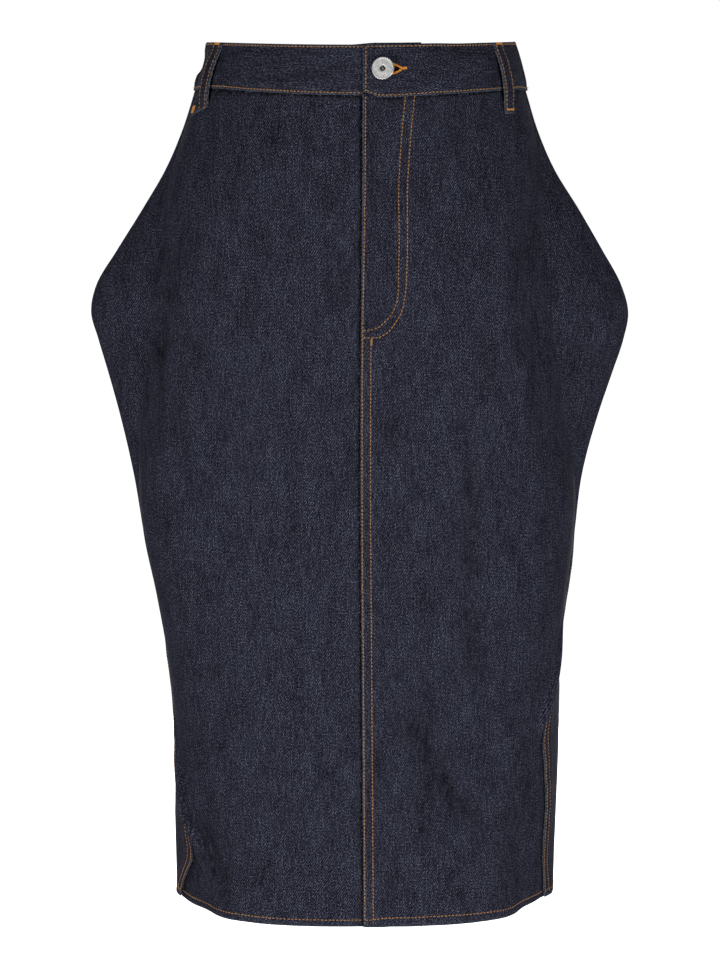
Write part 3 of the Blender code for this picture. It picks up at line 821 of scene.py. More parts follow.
# How much lower than straight the band's bottom edge hangs, at places round it from the centre front
BAND_SAG = (
    (2, -2.8), (4, -2.2), (9, 0.2), (15, 2.1), (30, 2.0), (54, 0.5), (80, -1.0), (114, -2.4), (150, -3.0),
    (230, 0),
)
BAND_SAG_RIGHT = ((-230, 0), (-150, -3.8), (-128, -4.1), (-92, -2.4), (-46, -0.8), (-4, -0.1), (60, -0.1))


def band_sag(round_, down, whole):
    """How much lower the band's cloth lies than if its bottom edge were straight."""
    sag = np.where(round_ < HALF_ROUND, between(BAND_SAG, round_), between(BAND_SAG_RIGHT, round_ - whole))
    return sag * ease(down, 24, 37.5)


# %% The panels' heights above the skin
FOLD_ROUND, HEM_ROUND = 0.58, 1.3
SWELL_HIGH, SWELL_AT, SWELL_WIDE = 0.22, 4.6, 3.4  # the cloth swells between a felled seam's two rows
# Painted shade on the cloth beside an edge that covers it, and under the waistband's bottom edge, in a strip
# that may widen towards the hem
COVERED_SHADE, SHADE_FLAT, SHADE_WIDENS = 2.2, 1.3, 650
FAR = 1e3  # a distance for a panel that has no folded edge near its hem


def hem_shape(round_, down):
    """The hem is thicker below its stitches and rounds over at its edge: outwards, and worn."""
    up = LENGTH - down
    row = between(HEM_STITCH, round_)
    bulge = 0.3 * (1 - ease(up, row - 0.6, row + 0.8)) - groove(up - row)
    return bulge - rolled(up, HEM_ROUND), 0.75 * np.exp(-up / 1.6)


def panel(name, round_, lift, edges, turned_from, covered=()):
    """One panel. edges are the folded ones, as distances in from them; turned_from is where its hem starts.

    covered are the distances in from the neighbours' edges that lie on it, each with how far the painted shade
    reaches from that edge at the hem."""
    down = whole_grid(PANEL_ROWS, round_)
    hem, wear_and_shade = hem_shape(round_, down)
    inner = lift - hem_turn(down, turned_from) + rolled(LENGTH - down, HEM_ROUND)
    outer = lift + CLOTH + hem
    for distance in edges:
        outer = outer + SWELL_HIGH * bell(distance - SWELL_AT, SWELL_WIDE) - rolled(distance, FOLD_ROUND)
        outer = outer - groove(distance - EDGE_ROW) - groove(distance - SECOND_ROW)
        inner = inner + rolled(distance, FOLD_ROUND)
        wear_and_shade = np.maximum(wear_and_shade, near_edge(distance, 0.9, 0.8))
    wear_and_shade = np.maximum(wear_and_shade, RIDGE_RUB * seam_ridge(round_, down, RIDGE_WORN))
    # Painted shade beside the neighbours' edges that lie on this panel
    for distance, low_reach in covered:
        reach = 1.0 + (low_reach - 1.0) * ease(down, SHADE_WIDENS, LENGTH)
        wear_and_shade = wear_and_shade - COVERED_SHADE * near_edge(distance, SHADE_FLAT, reach)
    # Painted shadow under the waistband's bottom edge
    round_in_band = np.where(round_ < 1, round_ + band_whole, round_)
    below_band = down - BAND - band_sag(round_in_band, np.full(down.shape, BAND), band_whole)
    wear_and_shade = wear_and_shade - COVERED_SHADE * near_edge(below_band, SHADE_FLAT, 1.0)
    return cloth(name, round_, down, inner, outer, wear_and_shade, DENIM)


band_whole = float(round_at(BAND, 2) - round_at(BAND, -2))
FOLDED_EDGE = (0, 0.08, 0.25, 0.5, 0.85, 1.3, 1.7, 2.0, 2.4, 3.0, 4.2, 5.6, 7.0, 7.8, 8.4, 9.0, 10.2, 12.0, 14)
BACK_EDGE = (*FOLDED_EDGE, 17, 20, 24)
FLY_EDGE = (*FOLDED_EDGE, *np.arange(15.2, 44, 1.2))
UNDER_EDGE = (0, 3.0, 7.0, 10.0, 12.0, 12.5, 13.1, 13.9, 15.0, 17.0)
UNDER_FLY = (0, 4.0, 8.0, 8.5, 9.1, 9.9, 11.0, 12.0, 12.5, 13.1, 13.9, 15.0, 17.0)
FRONT_STEP, BACK_STEP = 2.4, 3.0

# %% The two fronts
fly_edge = seam("fly", PANEL_ROWS)
left_edge, right_edge = side_seam("left", PANEL_ROWS), side_seam("right", PANEL_ROWS)
left_round = spread(fly_edge, left_edge + LAP, FLY_EDGE, UNDER_EDGE, FRONT_STEP)
from_fly = left_round - fly_edge[:, None]
left_lift = fly_lift(from_fly, whole_grid(PANEL_ROWS, left_round))
under = [(left_edge[:, None] - left_round, 1.0)]
front_left = panel("front_left_cloth", left_round, left_lift, [from_fly], from_fly, under)

under_fly = FLY_EDGE_UNDER + (LAP - FLY_EDGE_UNDER) * ease(PANEL_ROWS, FLY_BOTTOM + 4, FLY_BOTTOM + 20)
right_round = spread(right_edge - LAP, fly_edge + under_fly, UNDER_EDGE, UNDER_FLY, FRONT_STEP)
# At the hem this panel hangs in from the back one, and a wider strip beside their seam gets painted shade
under = [(fly_edge[:, None] - right_round, 1.0), (right_round - right_edge[:, None], 14.0)]
front_right = panel("front_right_cloth", right_round, np.zeros(right_round.shape), [], FAR, under)

# %% The two backs
back_middle, middle_under = round_at(PANEL_ROWS, 2), round_at(PANEL_ROWS, -2)
left_back_round = spread(left_edge, back_middle, BACK_EDGE, BACK_EDGE, BACK_STEP)
folded = [left_back_round - left_edge[:, None], back_middle[:, None] - left_back_round]
back_lift = lap_lift(folded[0]) + lap_lift(folded[1])
back_left = panel("back_left_cloth", left_back_round, back_lift, folded, np.minimum(*folded))

right_back_round = spread(middle_under - LAP, right_edge, UNDER_EDGE, BACK_EDGE, BACK_STEP)
from_side = right_edge[:, None] - right_back_round
under = [(right_back_round - middle_under[:, None], 1.0)]
back_right = panel("back_right_cloth", right_back_round, lap_lift(from_side), [from_side], from_side, under)

# %% [markdown]
# ## The waistband
# The waistband is one straight strip, cut along the cloth and folded double. It starts with the overlap at
# the centre front, runs round the left side and the back, and ends in the underlap behind the button. Its
# outer layer covers the panels' tops. The keyhole is cut through the overlap.

# %% The waistband's keyhole and heights
BUTTON_ROUND, BUTTON_DOWN = 16.4, 20.3
KEYHOLE = ((14.1, 0.25), (14.2, 2.4), (18.6, 2.6), (24.8, 2.7), (31.0, 0.25), (31.1, 0.25))
HOLE_START, SHANK_END, HOLE_END = 14.2, 18.6, 31.1
BAND_STITCH_TOP, BAND_STITCH_BOTTOM, BAND_STITCH_END = 2.0, 39.2, 2.5


def over_seams(round_, down, whole):
    """How far the band stands out over the thick felled seams beneath its outer layer."""
    row = down[:, 0]
    edges = ((side_seam("left", row), 1), (side_seam("right", row) + whole, -1), (round_at(row, 2), -1))
    lift = np.zeros(round_.shape)
    for edge, towards in edges:
        distance = (round_ - edge[:, None]) * towards
        lift += ease(distance, -SEAM_BULGE, -1) * (1 - ease(distance, LAP + 2, LAP + SEAM_BULGE))
    return LAYER * lift * ease(down, 18, BAND - TUCK - 1)


def side_kink(round_, down, whole):
    """How far the worn band buckles in or out at its two sides."""
    right = 2.5 * ease(down, 20.5, 28) - 3.1 * ease(down, 2, 14)
    left = 1.6 - 1.3 * ease(down, 12, 38)
    to_right = round_ - (whole + side_seam("right", down[:, 0]))[:, None]
    to_left = round_ - side_seam("left", down[:, 0])[:, None]
    return right * bell(to_right, 34) + left * bell(to_left, 30)


def band_top(round_, down, whole):
    """The height of the band's outer face, before its rounded edges."""
    lift = fly_lift(round_ - seam("fly", down), down) + over_seams(round_, down, whole)
    return lift + side_kink(round_, down, whole) + BAND_WALL


# %% The waistband
BAND_ROUND, LOW_ROUND = 1.45, 0.65  # how its top and its bottom edge round over
inner_end = BAND - TUCK - 0.6
band_rows = (
    0, 0.08, 0.3, 0.65, 1.1, 1.5, 1.95, 2.4, 2.85, 3.4, 4.6, 6.4, 8.4, 10.4, 12.4, 14.2, 15.8, 17.2,
    BUTTON_DOWN, BUTTON_DOWN, 23.4, 24.8, 26.6, 28.6, 30.2, inner_end - 0.4, inner_end, 32.4, 34, 35.6,
    37, 38, 38.4, 38.8, 39.2, 39.7, 40.15, 40.5, 40.75, 40.93, BAND,
)
band_rows = np.array(band_rows, float)
above = int(np.searchsorted(band_rows, BUTTON_DOWN))
whole = round_at(band_rows, 2) - round_at(band_rows, -2)
band_edge = (0, 0.08, 0.3, 0.65, 1.1, 1.5, 2.0, 2.5, 3.0, 3.8, 5.0, 6.5, *np.arange(8.0, 36, 1.1))
band_start, band_end = seam("fly", band_rows), whole + UNDERLAP
band_round = spread(band_start, band_end, band_edge, band_edge, FRONT_STEP)
band_down = whole_grid(band_rows, band_round)
past_front = np.where(band_round > HALF_ROUND, band_round - whole[:, None], band_round)
# The keyhole is cut between two rows that are parted there. Behind it, the underlap has the shank's hole
half_hole = between(KEYHOLE, past_front)
shank_only = np.minimum(half_hole, np.where(past_front > SHANK_END + 0.1, 0.25, 9))
half_hole = np.where(band_round > HALF_ROUND, shank_only, half_hole)
band_down[above] -= half_hole[above]
band_down[above + 1] += half_hole[above + 1]
in_hole = np.zeros((len(band_rows) - 1, band_round.shape[1] - 1), bool)
middle = (past_front[above, 1:] + past_front[above, :-1]) / 2
hole_end = np.where(band_round[above, 1:] > HALF_ROUND, SHANK_END, HOLE_END)
in_hole[above] = (middle > HOLE_START) & (middle < hole_end)
rise = UNDERLAP_RISE * ease(band_round - whole[:, None], -8, 10) * (1 - ease(band_down, 2, 14))
to_ends = np.minimum(band_round - seam("fly", band_down), band_end[:, None] - band_round)
to_edges = np.minimum(band_down, BAND - band_down)
puff = 0.35 * ease(to_edges, 2.6, 9) + 0.12 * soft_noise(band_round / 30, band_down / 11, 21)
plain_top = band_top(band_round, band_down, whole)
top = plain_top + puff * ease(to_ends, 2, 9) - 0.7 * ease(band_down, 34, 40.5)
for to_row in (
    band_down - BAND_STITCH_TOP,
    band_down - BAND_STITCH_BOTTOM,
    band_round - seam("fly", band_down) - BAND_STITCH_END,
):
    top = top - groove(to_row)
round_over = rolled(band_down, BAND_ROUND) + rolled(BAND - band_down, LOW_ROUND) + rolled(to_ends, BAND_ROUND)
band_outer = top - round_over
room = BAND_WALL - LIP + np.maximum(-side_kink(band_round, band_down, whole), 0)
foot = plain_top - BAND_WALL + np.where(band_down > inner_end - 0.2, room, 0)
band_inner = np.minimum(foot + round_over, band_outer - 0.06)
band_worn = near_edge(np.minimum(to_edges, to_ends), 0.4, 1.2)
hung = band_down - rise + band_sag(band_round, band_down, whole[:, None])
waistband = cloth(
    "waistband_cloth", band_round, hung, band_inner, band_outer, band_worn, DENIM,
    sideways=True, open_cells=in_hole,
)

# %% [markdown]
# ## The belt loops
# A belt loop is a strip folded to a third of its width and sewn down twice, then tacked at its two ends.
# Between them it stands a little off the band, so that a belt fits through.

# %% The belt loops' sizes
LOOP_WIDTH, LOOP_WALL, LOOP_END, LOOP_FLARE, LOOP_CUT = 12.0, 1.8, 57.5, 12.5, 8.0
LOOP_STAND = table(
    "down stand", (0, 3.4), (7, 3.5), (16, 5.2), (26, 5.8), (36, 5.3), (43, 4.2), (52, 1.7), (60, 1.6)
)
LOOPS = {"right": (-109.2, -124.5), "left": (106.0, 117.6)}
LOOP_ENDS = ([0.8, 0.88, 1.1, 1.5, 2.0], [55.8, 56.4, 56.9, 57.25, 57.42, LOOP_END])
loop_rows = np.concatenate([LOOP_ENDS[0], np.arange(3, 55.5, 1.5), LOOP_ENDS[1]])
LOOP_HALF = LOOP_WIDTH / 2
LOOP_FINE = np.array([0, 0.08, 0.28, 0.6, 1.0, 1.4, 1.8, 2.3, 3.2, 4.4, 5.4, 6.0])
LOOP_ACROSS = np.concatenate([LOOP_FINE - LOOP_HALF, (LOOP_HALF - LOOP_FINE)[::-1][1:]])


# %% Where a loop stands
def round_seen(across, down):
    """The place round the cloth of something seen from the front this far across from the centre."""
    side = "left" if across[0] > 0 else "right"
    turned = np.arcsin(across / column(OUTLINE, side, down))
    rows = [ANGLES[int(round((height - TABLE_DOWN[0]) / TABLE_STEP))] for height in down]
    found = [np.interp(angle, row, TABLE_ROUND) for angle, row in zip(turned, rows)]
    return np.convolve(np.pad(found, 4, mode="reflect", reflect_type="odd"), np.ones(9) / 9, "valid")


def loop_middle(side, down):
    """Where a loop's middle line runs."""
    if side == "back":
        return round_at(down, 2) - LAP / 2
    return round_seen(np.interp(down, [0.8, LOOP_END], LOOPS[side]), down)


def loop_foot(side, down):
    """The height of a loop's inner face."""
    lifted = LAYER if side == "back" else 0.0
    return column(LOOP_STAND, "stand", down) + lifted * ease(down, 8, 26)


# %% The belt loops
def belt_loop(side):
    """A loop, and its places round the cloth. The right one's foot spreads open to one side."""
    round_ = loop_middle(side, loop_rows)[:, None] + LOOP_ACROSS
    down = whole_grid(loop_rows, round_)
    if side == "right":
        spread_out = LOOP_FLARE * ease(down, 40, 57) * (LOOP_HALF - LOOP_ACROSS) / LOOP_WIDTH
        round_ = round_ + 0.12 * LOOP_ACROSS - spread_out
    to_side = LOOP_HALF - np.abs(LOOP_ACROSS) + np.zeros(down.shape)
    to_end = np.minimum(down - 0.8, LOOP_END - down)
    foot = loop_foot(side, down)
    outer = foot + LOOP_WALL + 0.25 * ease(to_side, 0.4, 2.8) - groove(to_side - 1.5, 0.7)
    outer = outer + 0.12 * soft_noise(down / 6, LOOP_ACROSS / 5, 31)
    outer = outer - rolled(to_side, 0.85) - rolled(to_end, 0.85)
    inner = foot + rolled(to_side, 0.8) + rolled(to_end, 0.8)
    wear_and_shade = near_edge(np.minimum(to_side, to_end), 0.5, 1.0)
    if side == "right":
        cut_off = LOOP_CUT * (LOOP_HALF + LOOP_ACROSS) / LOOP_WIDTH
        down = down + ease(down, 42, LOOP_END) * (3.0 - cut_off)
    return cloth(f"belt_loop_{side}_cloth", round_, down, inner, outer, wear_and_shade, DENIM), round_


loops = {side: belt_loop(side) for side in ("right", "left", "back")}

# %% [markdown]
# ## Behind the fly
# The zip lies edge to edge with the right front, under the fly, with the shield of doubled denim behind
# it. Little of it shows, so the tapes are one strip, and the teeth are small blocks, modelled once.

# %% The fly's shield
SHIELD_TOP, SHIELD_BOTTOM, ZIP_BOTTOM, ZIP_WIDTH, ZIP_THICK = 33.0, 232, 220.0, 26.0, 0.7
shield_rows = np.concatenate([np.arange(SHIELD_TOP, 224, 4.0), [224, 228, 230, 231.2, 231.8, SHIELD_BOTTOM]])
shield_width = np.interp(shield_rows, [0, 208, 222, 229, SHIELD_BOTTOM], [52, 52, 47, 42, 38])
shield_start = seam("fly", shield_rows) - 6 + np.interp(shield_rows, [0, 226, SHIELD_BOTTOM], [0, 0, 2])
shield_end = shield_start + shield_width
fine = (0, 0.1, 0.4, 0.9, 1.6)
shield_round = spread(shield_start, shield_end, fine, fine, 3.0)
shield_down = whole_grid(shield_rows, shield_round)
to_side = np.minimum(shield_round - shield_start[:, None], shield_end[:, None] - shield_round)
to_side = np.minimum(to_side, SHIELD_BOTTOM - shield_down)
edge = rolled(to_side, FOLD_ROUND)
shield_worn = 0.6 * np.exp(-to_side)
fly_shield = cloth(
    "fly_shield_cloth", shield_round, shield_down, -LAYER + edge, -GAP - edge, shield_worn, DENIM[:1]
)


# %% The zip's tape
def tape_material():
    """Plain woven tape: close ribs along its length."""
    finish = Finish("zip_tape", 0.8, 0.2)
    inputs = {"Vector": finish.cut_map("weave"), "Scale": 1.4, "Distortion": 0.6}
    ribs = finish.node("TexWave", inputs, bands_direction="X").outputs["Fac"]
    colour = finish.ramp(ribs, ((0, 0.01, 0.011, 0.02), (1, 0.035, 0.038, 0.06)))
    return finish.done(colour, Normal=finish.bump(ribs, 0.1))


zip_rows = np.arange(SHIELD_TOP, ZIP_BOTTOM + 0.1, 3.4)
zip_start = seam("fly", zip_rows) + FLY_EDGE_UNDER + GAP
zip_round = spread(zip_start, zip_start + ZIP_WIDTH, (0, 2), (0, 2), 2.0)
zip_down = whole_grid(zip_rows, zip_round)
zip_tape = cloth("zip_tape_cloth", zip_round, zip_down, 0.0, ZIP_THICK, 0.0, [tape_material()])

# %% [markdown]
# ## Thread
# The seams are sewn with thick tobacco-coloured thread. Each stitch is a short bulge of thread that dives
# into the cloth at both ends. One stitch is shaped from a sphere of few faces, and every row of sewing is
# that stitch, copied along a line on the cloth. Real rows are never perfect, so each copy is a little
# longer, shorter or to one side.

# %% One stitch
bpy.ops.object.select_all(action="DESELECT")
bpy.ops.mesh.primitive_uv_sphere_add(segments=6, ring_count=6, radius=1, location=(0, 0, 0))
pattern = bpy.context.object
bpy.ops.object.mode_set(mode="EDIT")
bpy.ops.mesh.select_all(action="SELECT")
bpy.ops.transform.rotate(value=math.pi / 2, orient_axis="Y", center_override=(0, 0, 0))
bpy.ops.object.mode_set(mode="OBJECT")
STITCH_POINTS = np.array([v.co for v in pattern.data.vertices])
STITCH_FACES = [list(p.vertices) for p in pattern.data.polygons]
STITCH_UV = np.array([loop.uv for loop in pattern.data.uv_layers[0].data])
full = np.clip(np.abs(STITCH_POINTS[:, 0]), 0, 1)
swell = (1 - full**4) ** 0.5 / np.maximum(np.sqrt(1 - full**2), 1e-6)
STITCH_POINTS[:, 1:] *= np.where(full < 0.999, swell, 1)[:, None]
bpy.data.objects.remove(pattern, do_unlink=True)
print("one stitch:", len(STITCH_FACES), "faces")


# %% Thread's material
def thread_material(name, light, dark):
    """Plied thread: slanting bands round each stitch, and small changes of colour along the seam."""
    finish = Finish(name, 0.62, 0.25, sheen=0.2)
    round_thread, along = finish.parts(finish.cut_map("plies"))
    turn = finish.plus(finish.math("MULTIPLY", round_thread, math.tau), 22.0, along)
    plies = finish.plus(0.5, 0.5, finish.math("SINE", turn))
    value = finish.plus(finish.math("MULTIPLY", finish.mottle(160, 2), 0.9), 0.35, plies)
    colour = finish.ramp(value, ((0.2, *dark), (0.85, *light)))
    return finish.done(colour, Normal=finish.bump(plies, 0.08))


TOBACCO = thread_material("tobacco_thread", (0.50, 0.235, 0.064), (0.20, 0.085, 0.022))
ORANGE = thread_material("orange_thread", (0.86, 0.33, 0.030), (0.50, 0.17, 0.014))


# %% The stitches' sizes
PITCH, STITCH_LENGTH, THREAD, THREAD_HIGH, SLANT = 3.0, 2.2, 0.42, 0.34, 0.07
# How far a stitch may be off along its row, in its slant and to one side, and its shortest and longest share
OFF_ALONG, OFF_SLANT, OFF_ASIDE, UNEVEN_LENGTH = 0.05, 0.04, 0.06, (0.93, 1.05)


# %% Lines on the cloth
def lengths_along(line):
    """How far along a line each of its points is."""
    return np.concatenate([[0], np.cumsum(np.linalg.norm(np.diff(line, axis=0), axis=1))])


def line_on_cloth(places):
    """A smooth line through a few places on the cloth."""
    places = np.array(places, float)
    far = lengths_along(places)
    at = np.arange(0, far[-1], 0.5)
    return np.stack([curve_through(far, values, at) for values in places.T], axis=1)


# %% Where the stitches of a row lie
def stitches_on(fine, height, pitch, length, rng, turned=0.0):
    """The stitches along a line: their middles, three directions and half lengths, as arrays."""
    far = lengths_along(fine)
    count = max(int(far[-1] / pitch), 1)
    middles = (np.arange(count) + 0.5) * far[-1] / count + rng.uniform(-OFF_ALONG, OFF_ALONG, count) * pitch
    halves = length / 2 * rng.uniform(*UNEVEN_LENGTH, count)
    ends = []
    for at in (middles - halves * 0.9, middles + halves * 0.9):
        round_, down = np.interp(at, far, fine[:, 0]), np.interp(at, far, fine[:, 1])
        points, normal = skin(round_, down)
        ends.append(points + normal * height(round_, down)[:, None])
    middle = (ends[0] + ends[1]) / 2
    along = unit(ends[1] - ends[0])
    out = unit(normal - along * (normal * along).sum(axis=1, keepdims=True))
    across = np.cross(out, along)
    if turned:
        along, across = across, -along
    slant = SLANT + rng.uniform(-OFF_SLANT, OFF_SLANT, count)[:, None]
    cos, sin = np.cos(slant), np.sin(slant)
    along, across = along * cos + across * sin, across * cos - along * sin
    middle = middle + across * rng.uniform(-OFF_ASIDE, OFF_ASIDE, count)[:, None]
    return middle, along, across, out, halves


# %% Sewing rows of stitches
def sew(name, rows, material, seed):
    """One mesh of stitches. A row is a line, a height, a pitch, a length, a width and whether it is turned."""
    rng = np.random.default_rng(seed)
    points = []
    for fine, height, pitch, length, width, turned in rows:
        middle, along, across, out, halves = stitches_on(fine, height, pitch, length, rng, turned)
        reach = np.full(len(halves), length / 2) if turned else halves
        x, y, z = STITCH_POINTS.T
        shaped = middle[:, None] + along[:, None] * (reach[:, None] * x)[..., None]
        shaped = shaped + across[:, None] * (width * y)[None, :, None]
        lift = THREAD_HIGH * width / THREAD * (z + 0.25 - 0.35 * x**2)
        shaped = shaped + out[:, None] * lift[None, :, None]
        points.append(shaped.reshape(-1, 3))
    points = np.concatenate(points)
    copies = len(points) // len(STITCH_POINTS)
    faces = [[v + i * len(STITCH_POINTS) for v in face] for i in range(copies) for face in STITCH_FACES]
    mesh = bpy.data.meshes.new(name)
    mesh.from_pydata((points * MM).tolist(), [], faces)
    plies = mesh.uv_layers.new(name="plies")
    plies.data.foreach_set("uv", np.tile(STITCH_UV, (copies, 1)).astype(np.float32).ravel())
    mesh.materials.append(material)
    mesh.shade_smooth()
    print(f"{name}: {copies} stitches")
    return put_in_scene(name, mesh)


def plain(fine, height):
    """A plain row of topstitching."""
    return fine, height, PITCH, STITCH_LENGTH, THREAD, 0.0


def tack(fine, height, tall=2.0, width=0.3, pitch=0.42):
    """A bartack: stitches side by side, across the line."""
    return fine, height, pitch, tall, width, 1.0


# %% [markdown]
# ## Where the seams are sewn
# The fly has a row along its edge and two rows that turn in below the zip in the shape of a J. Two rows
# hold each felled seam, one holds the hem, and rows run just inside the waistband's edges.

# %% The front's rows
FLY_ROW = ((0, 2.5), (120, 2.3), (231, 1.3), (705, 1.3))
INNER_J = ((34.6, 41.5), (31.2, 85), (29.9, 115.6), (30.3, 152.3), (29.9, 178.8), (28.9, 201.3), (25.6, 211.4))
INNER_J += ((20.2, 218.4), (14, 223.5), (7.5, 225.7), (1.7, 225.7))
OUTER_J = ((41.9, 41.5), (38.1, 85), (36.6, 115.6), (36.7, 159.4), (36.1, 182.7), (34.6, 202.1), (32, 212.2))
OUTER_J += ((27.6, 219.7), (21.8, 227), (14.6, 231.2), (8.6, 231.6), (1.9, 231.6))
SECOND_FLY_ROW, SUNK = 7.9, 0.02
hem_line = LENGTH - HEM_STITCH[1][1]


def on_front_left(round_, down):
    return fly_lift(round_ - seam("fly", down), down) + CLOTH - SUNK


def on_front_right(round_, down):
    return np.full(np.shape(round_), CLOTH - SUNK)


def down_line(start, end, where):
    """A line down the cloth, whose place round it is a function of the height."""
    down = np.arange(start, end, 1.0)
    return np.stack([where(down), down], axis=1)


def hem_row(start, end):
    """A line round the hem between two places."""
    round_ = np.arange(start, end, 1.0)
    return np.stack([round_, LENGTH - between(HEM_STITCH, round_)], axis=1)


fly_row = down_line(BAND + 0.8, LENGTH - 2, lambda down: seam("fly", down) + between(FLY_ROW, down))
second_row = down_line(232.5, LENGTH - 2, lambda down: seam("fly", down) + SECOND_FLY_ROW)
hem_fly = float(seam("fly", hem_line))
hem_left, hem_right = (float(side_seam(side, hem_line)) for side in ("left", "right"))
hem_back, hem_back_right = (float(round_at(hem_line, quarter)) for quarter in (2, -2))
left_hem_row = hem_row(hem_fly + 1.5, hem_left - 0.5)
front_lines = (fly_row, second_row, line_on_cloth(INNER_J), line_on_cloth(OUTER_J), left_hem_row)
front_rows = [plain(line, on_front_left) for line in front_lines]
front_rows.append(plain(hem_row(hem_right + 0.5, hem_fly - 0.5), on_front_right))
front_rows.append(tack(line_on_cloth(((9.0, 232.4), (9.0, 237.5))), on_front_left, 1.6))
thread_front = sew("thread_front", front_rows, TOBACCO, 1)


# %% The backs' rows
def on_back(round_, down):
    """The height of the backs' outer face."""
    left = lap_lift(round_ - side_seam("left", down)) + lap_lift(round_at(down, 2) - round_)
    right = lap_lift(side_seam("right", down) - round_)
    return np.where(round_ > 0, left, right) + CLOTH - SUNK


back_rows = []
down = np.arange(BAND + 1, LENGTH - 2, 1.0)
for distance in (EDGE_ROW, SECOND_ROW):
    for edge, way in ((side_seam("left", down), 1), (side_seam("right", down), -1), (round_at(down, 2), -1)):
        back_rows.append(plain(np.stack([edge + way * distance, down], axis=1), on_back))
back_rows.append(plain(hem_row(hem_left + 1.5, hem_back - 1.5), on_back))
back_rows.append(plain(hem_row(hem_back_right + 0.5, hem_right - 1.5), on_back))
thread_back = sew("thread_back", back_rows, TOBACCO, 2)


# %% The waistband's rows
def on_band(round_, down):
    around = round_at(down, 2) - round_at(down, -2)
    return band_top(round_[:, None], down[:, None], around)[:, 0] - SUNK


def band_row(down, start, end):
    """A line round the band between two places, at a height before it sags."""
    round_ = np.arange(start, end, 1.0)
    return np.stack([round_, down + band_sag(round_, np.full(len(round_), down), low_whole)], axis=1)


waist, low_whole = float(whole[0]), float(whole[-4])
edge_at = float(seam("fly", BAND_STITCH_TOP))
band_lines = (
    band_row(BAND_STITCH_TOP, edge_at + 2.6, waist + UNDERLAP - 3),
    band_row(BAND_STITCH_BOTTOM, edge_at + 2.6, low_whole + edge_at - 0.6),
    down_line(BAND_STITCH_TOP, BAND_STITCH_BOTTOM + 0.5, lambda down: seam("fly", down) + BAND_STITCH_END),
)
thread_waistband = sew("thread_waistband", [plain(line, on_band) for line in band_lines], TOBACCO, 3)


# %% The loops' rows and tacks
LOOP_STITCH = 4.2
# A tack's ends, across and down from the loop's middle, and how tall it is
STRAIGHT_TACK = (((-4.6, 0), (4.6, 0)), 2.2)
SPREAD_TACK = (((-16.4, 4.6), (-13.4, -4.2)), 7.0)


def loop_sewing(side):
    """A loop's two rows, and its bartacks at the top and the bottom."""

    def on_loop(round_, down):
        return loop_foot(side, down) + LOOP_WALL + 0.08

    def middle_at(down):
        return np.interp(down, loop_rows, loop_middle(side, loop_rows))

    rows, tacks = [], []
    for x in (-LOOP_STITCH, LOOP_STITCH):
        rows.append(plain(down_line(2.5, LOOP_END - 2.5, lambda down: middle_at(down) + x), on_loop))
    for down in (2.0, LOOP_END - 3.2):
        ends, tall = SPREAD_TACK if side == "right" and down > BAND else STRAIGHT_TACK
        line = line_on_cloth([(middle_at(down) + across, down + below) for across, below in ends])
        tacks.append(tack(line, on_loop, tall))
    return rows, tacks


sewn = [loop_sewing(side) for side in loops]
thread_loops = sew("thread_loops", sum((rows for rows, _ in sewn), []), TOBACCO, 4)
thread_bartacks = sew("thread_bartacks", sum((tacks for _, tacks in sewn), []), ORANGE, 5)

# %% [markdown]
# ## The buttonhole
# A keyhole is worked with close stitches that stand across its raw edge. From the button's eye they run
# together to a point and end in a short bar. The thread here is brighter than the topstitching.


# %% The buttonhole's stitches
def on_overlap(round_, down):
    return on_band(round_, down) + 0.4


# Places along the keyhole, and how far from its middle each leg of stitches runs there
HOLE_LEG = ((17.5, 4.0), (24.6, 3.9), (31.4, 0.7))
hole_rows = []
for way in (-1, 1):
    leg = line_on_cloth([(at, BUTTON_DOWN + way * aside) for at, aside in HOLE_LEG])
    hole_rows.append(tack(leg, on_overlap, 1.9, 0.27, 0.38))
bar = line_on_cloth(((30.4, BUTTON_DOWN - 0.2), (36.2, BUTTON_DOWN - 0.6)))
hole_rows.append(tack(bar, on_overlap, 2.3, 0.3, 0.4))
buttonhole = sew("buttonhole_thread", hole_rows, ORANGE, 6)

# %% [markdown]
# ## The tack button
# The button is a stamped metal cap on a shank, pressed onto a tack from inside the band. On a lathe it
# would be turned from one outline, and here too: a filled circle is extruded upwards step by step, and each
# step is scaled to the outline's width. The cap has a flat grained face, a thin raised rim and a hollow
# eye with a small dome in it.

# %% The button's outline
BUTTON_PROFILE = (
    (3.4, -1.9), (4.1, -1.8), (4.5, -1.4), (4.55, -0.9), (4.4, -0.45), (4.1, -0.3), (1.8, -0.3), (1.8, 6.9),
    (7.4, 6.9), (8.1, 7.0), (8.6, 7.3), (8.8, 7.8), (8.85, 8.3), (8.78, 8.7), (8.6, 8.93), (8.35, 9.05),
    (8.1, 9.08), (7.9, 9.05), (7.7, 9.0), (7.4, 8.99), (5.6, 9.02), (3.4, 9.05), (2.5, 9.06), (2.2, 8.98),
    (2.0, 8.7), (1.9, 8.2), (1.85, 7.8), (1.7, 7.6), (1.3, 7.6), (1.1, 7.75), (1.0, 8.05), (0.85, 8.35),
    (0.6, 8.52), (0.3, 8.58), (0.05, 8.6),
)
BUTTON_SIDES = 72
CAP_FOOT, CAP_LEAN, CAP_LIFT, CAP_ASIDE, CAP_EASES = 6.0, 18, 2.1, 1.1, 0.8
# Inside this radius and between these heights the eye's metal is painted dark, as painted shade in its hollow
SHADED_EYE_RADIUS, SHADED_EYE_LOW, SHADED_EYE_HIGH = 2.1, 7, 8.9


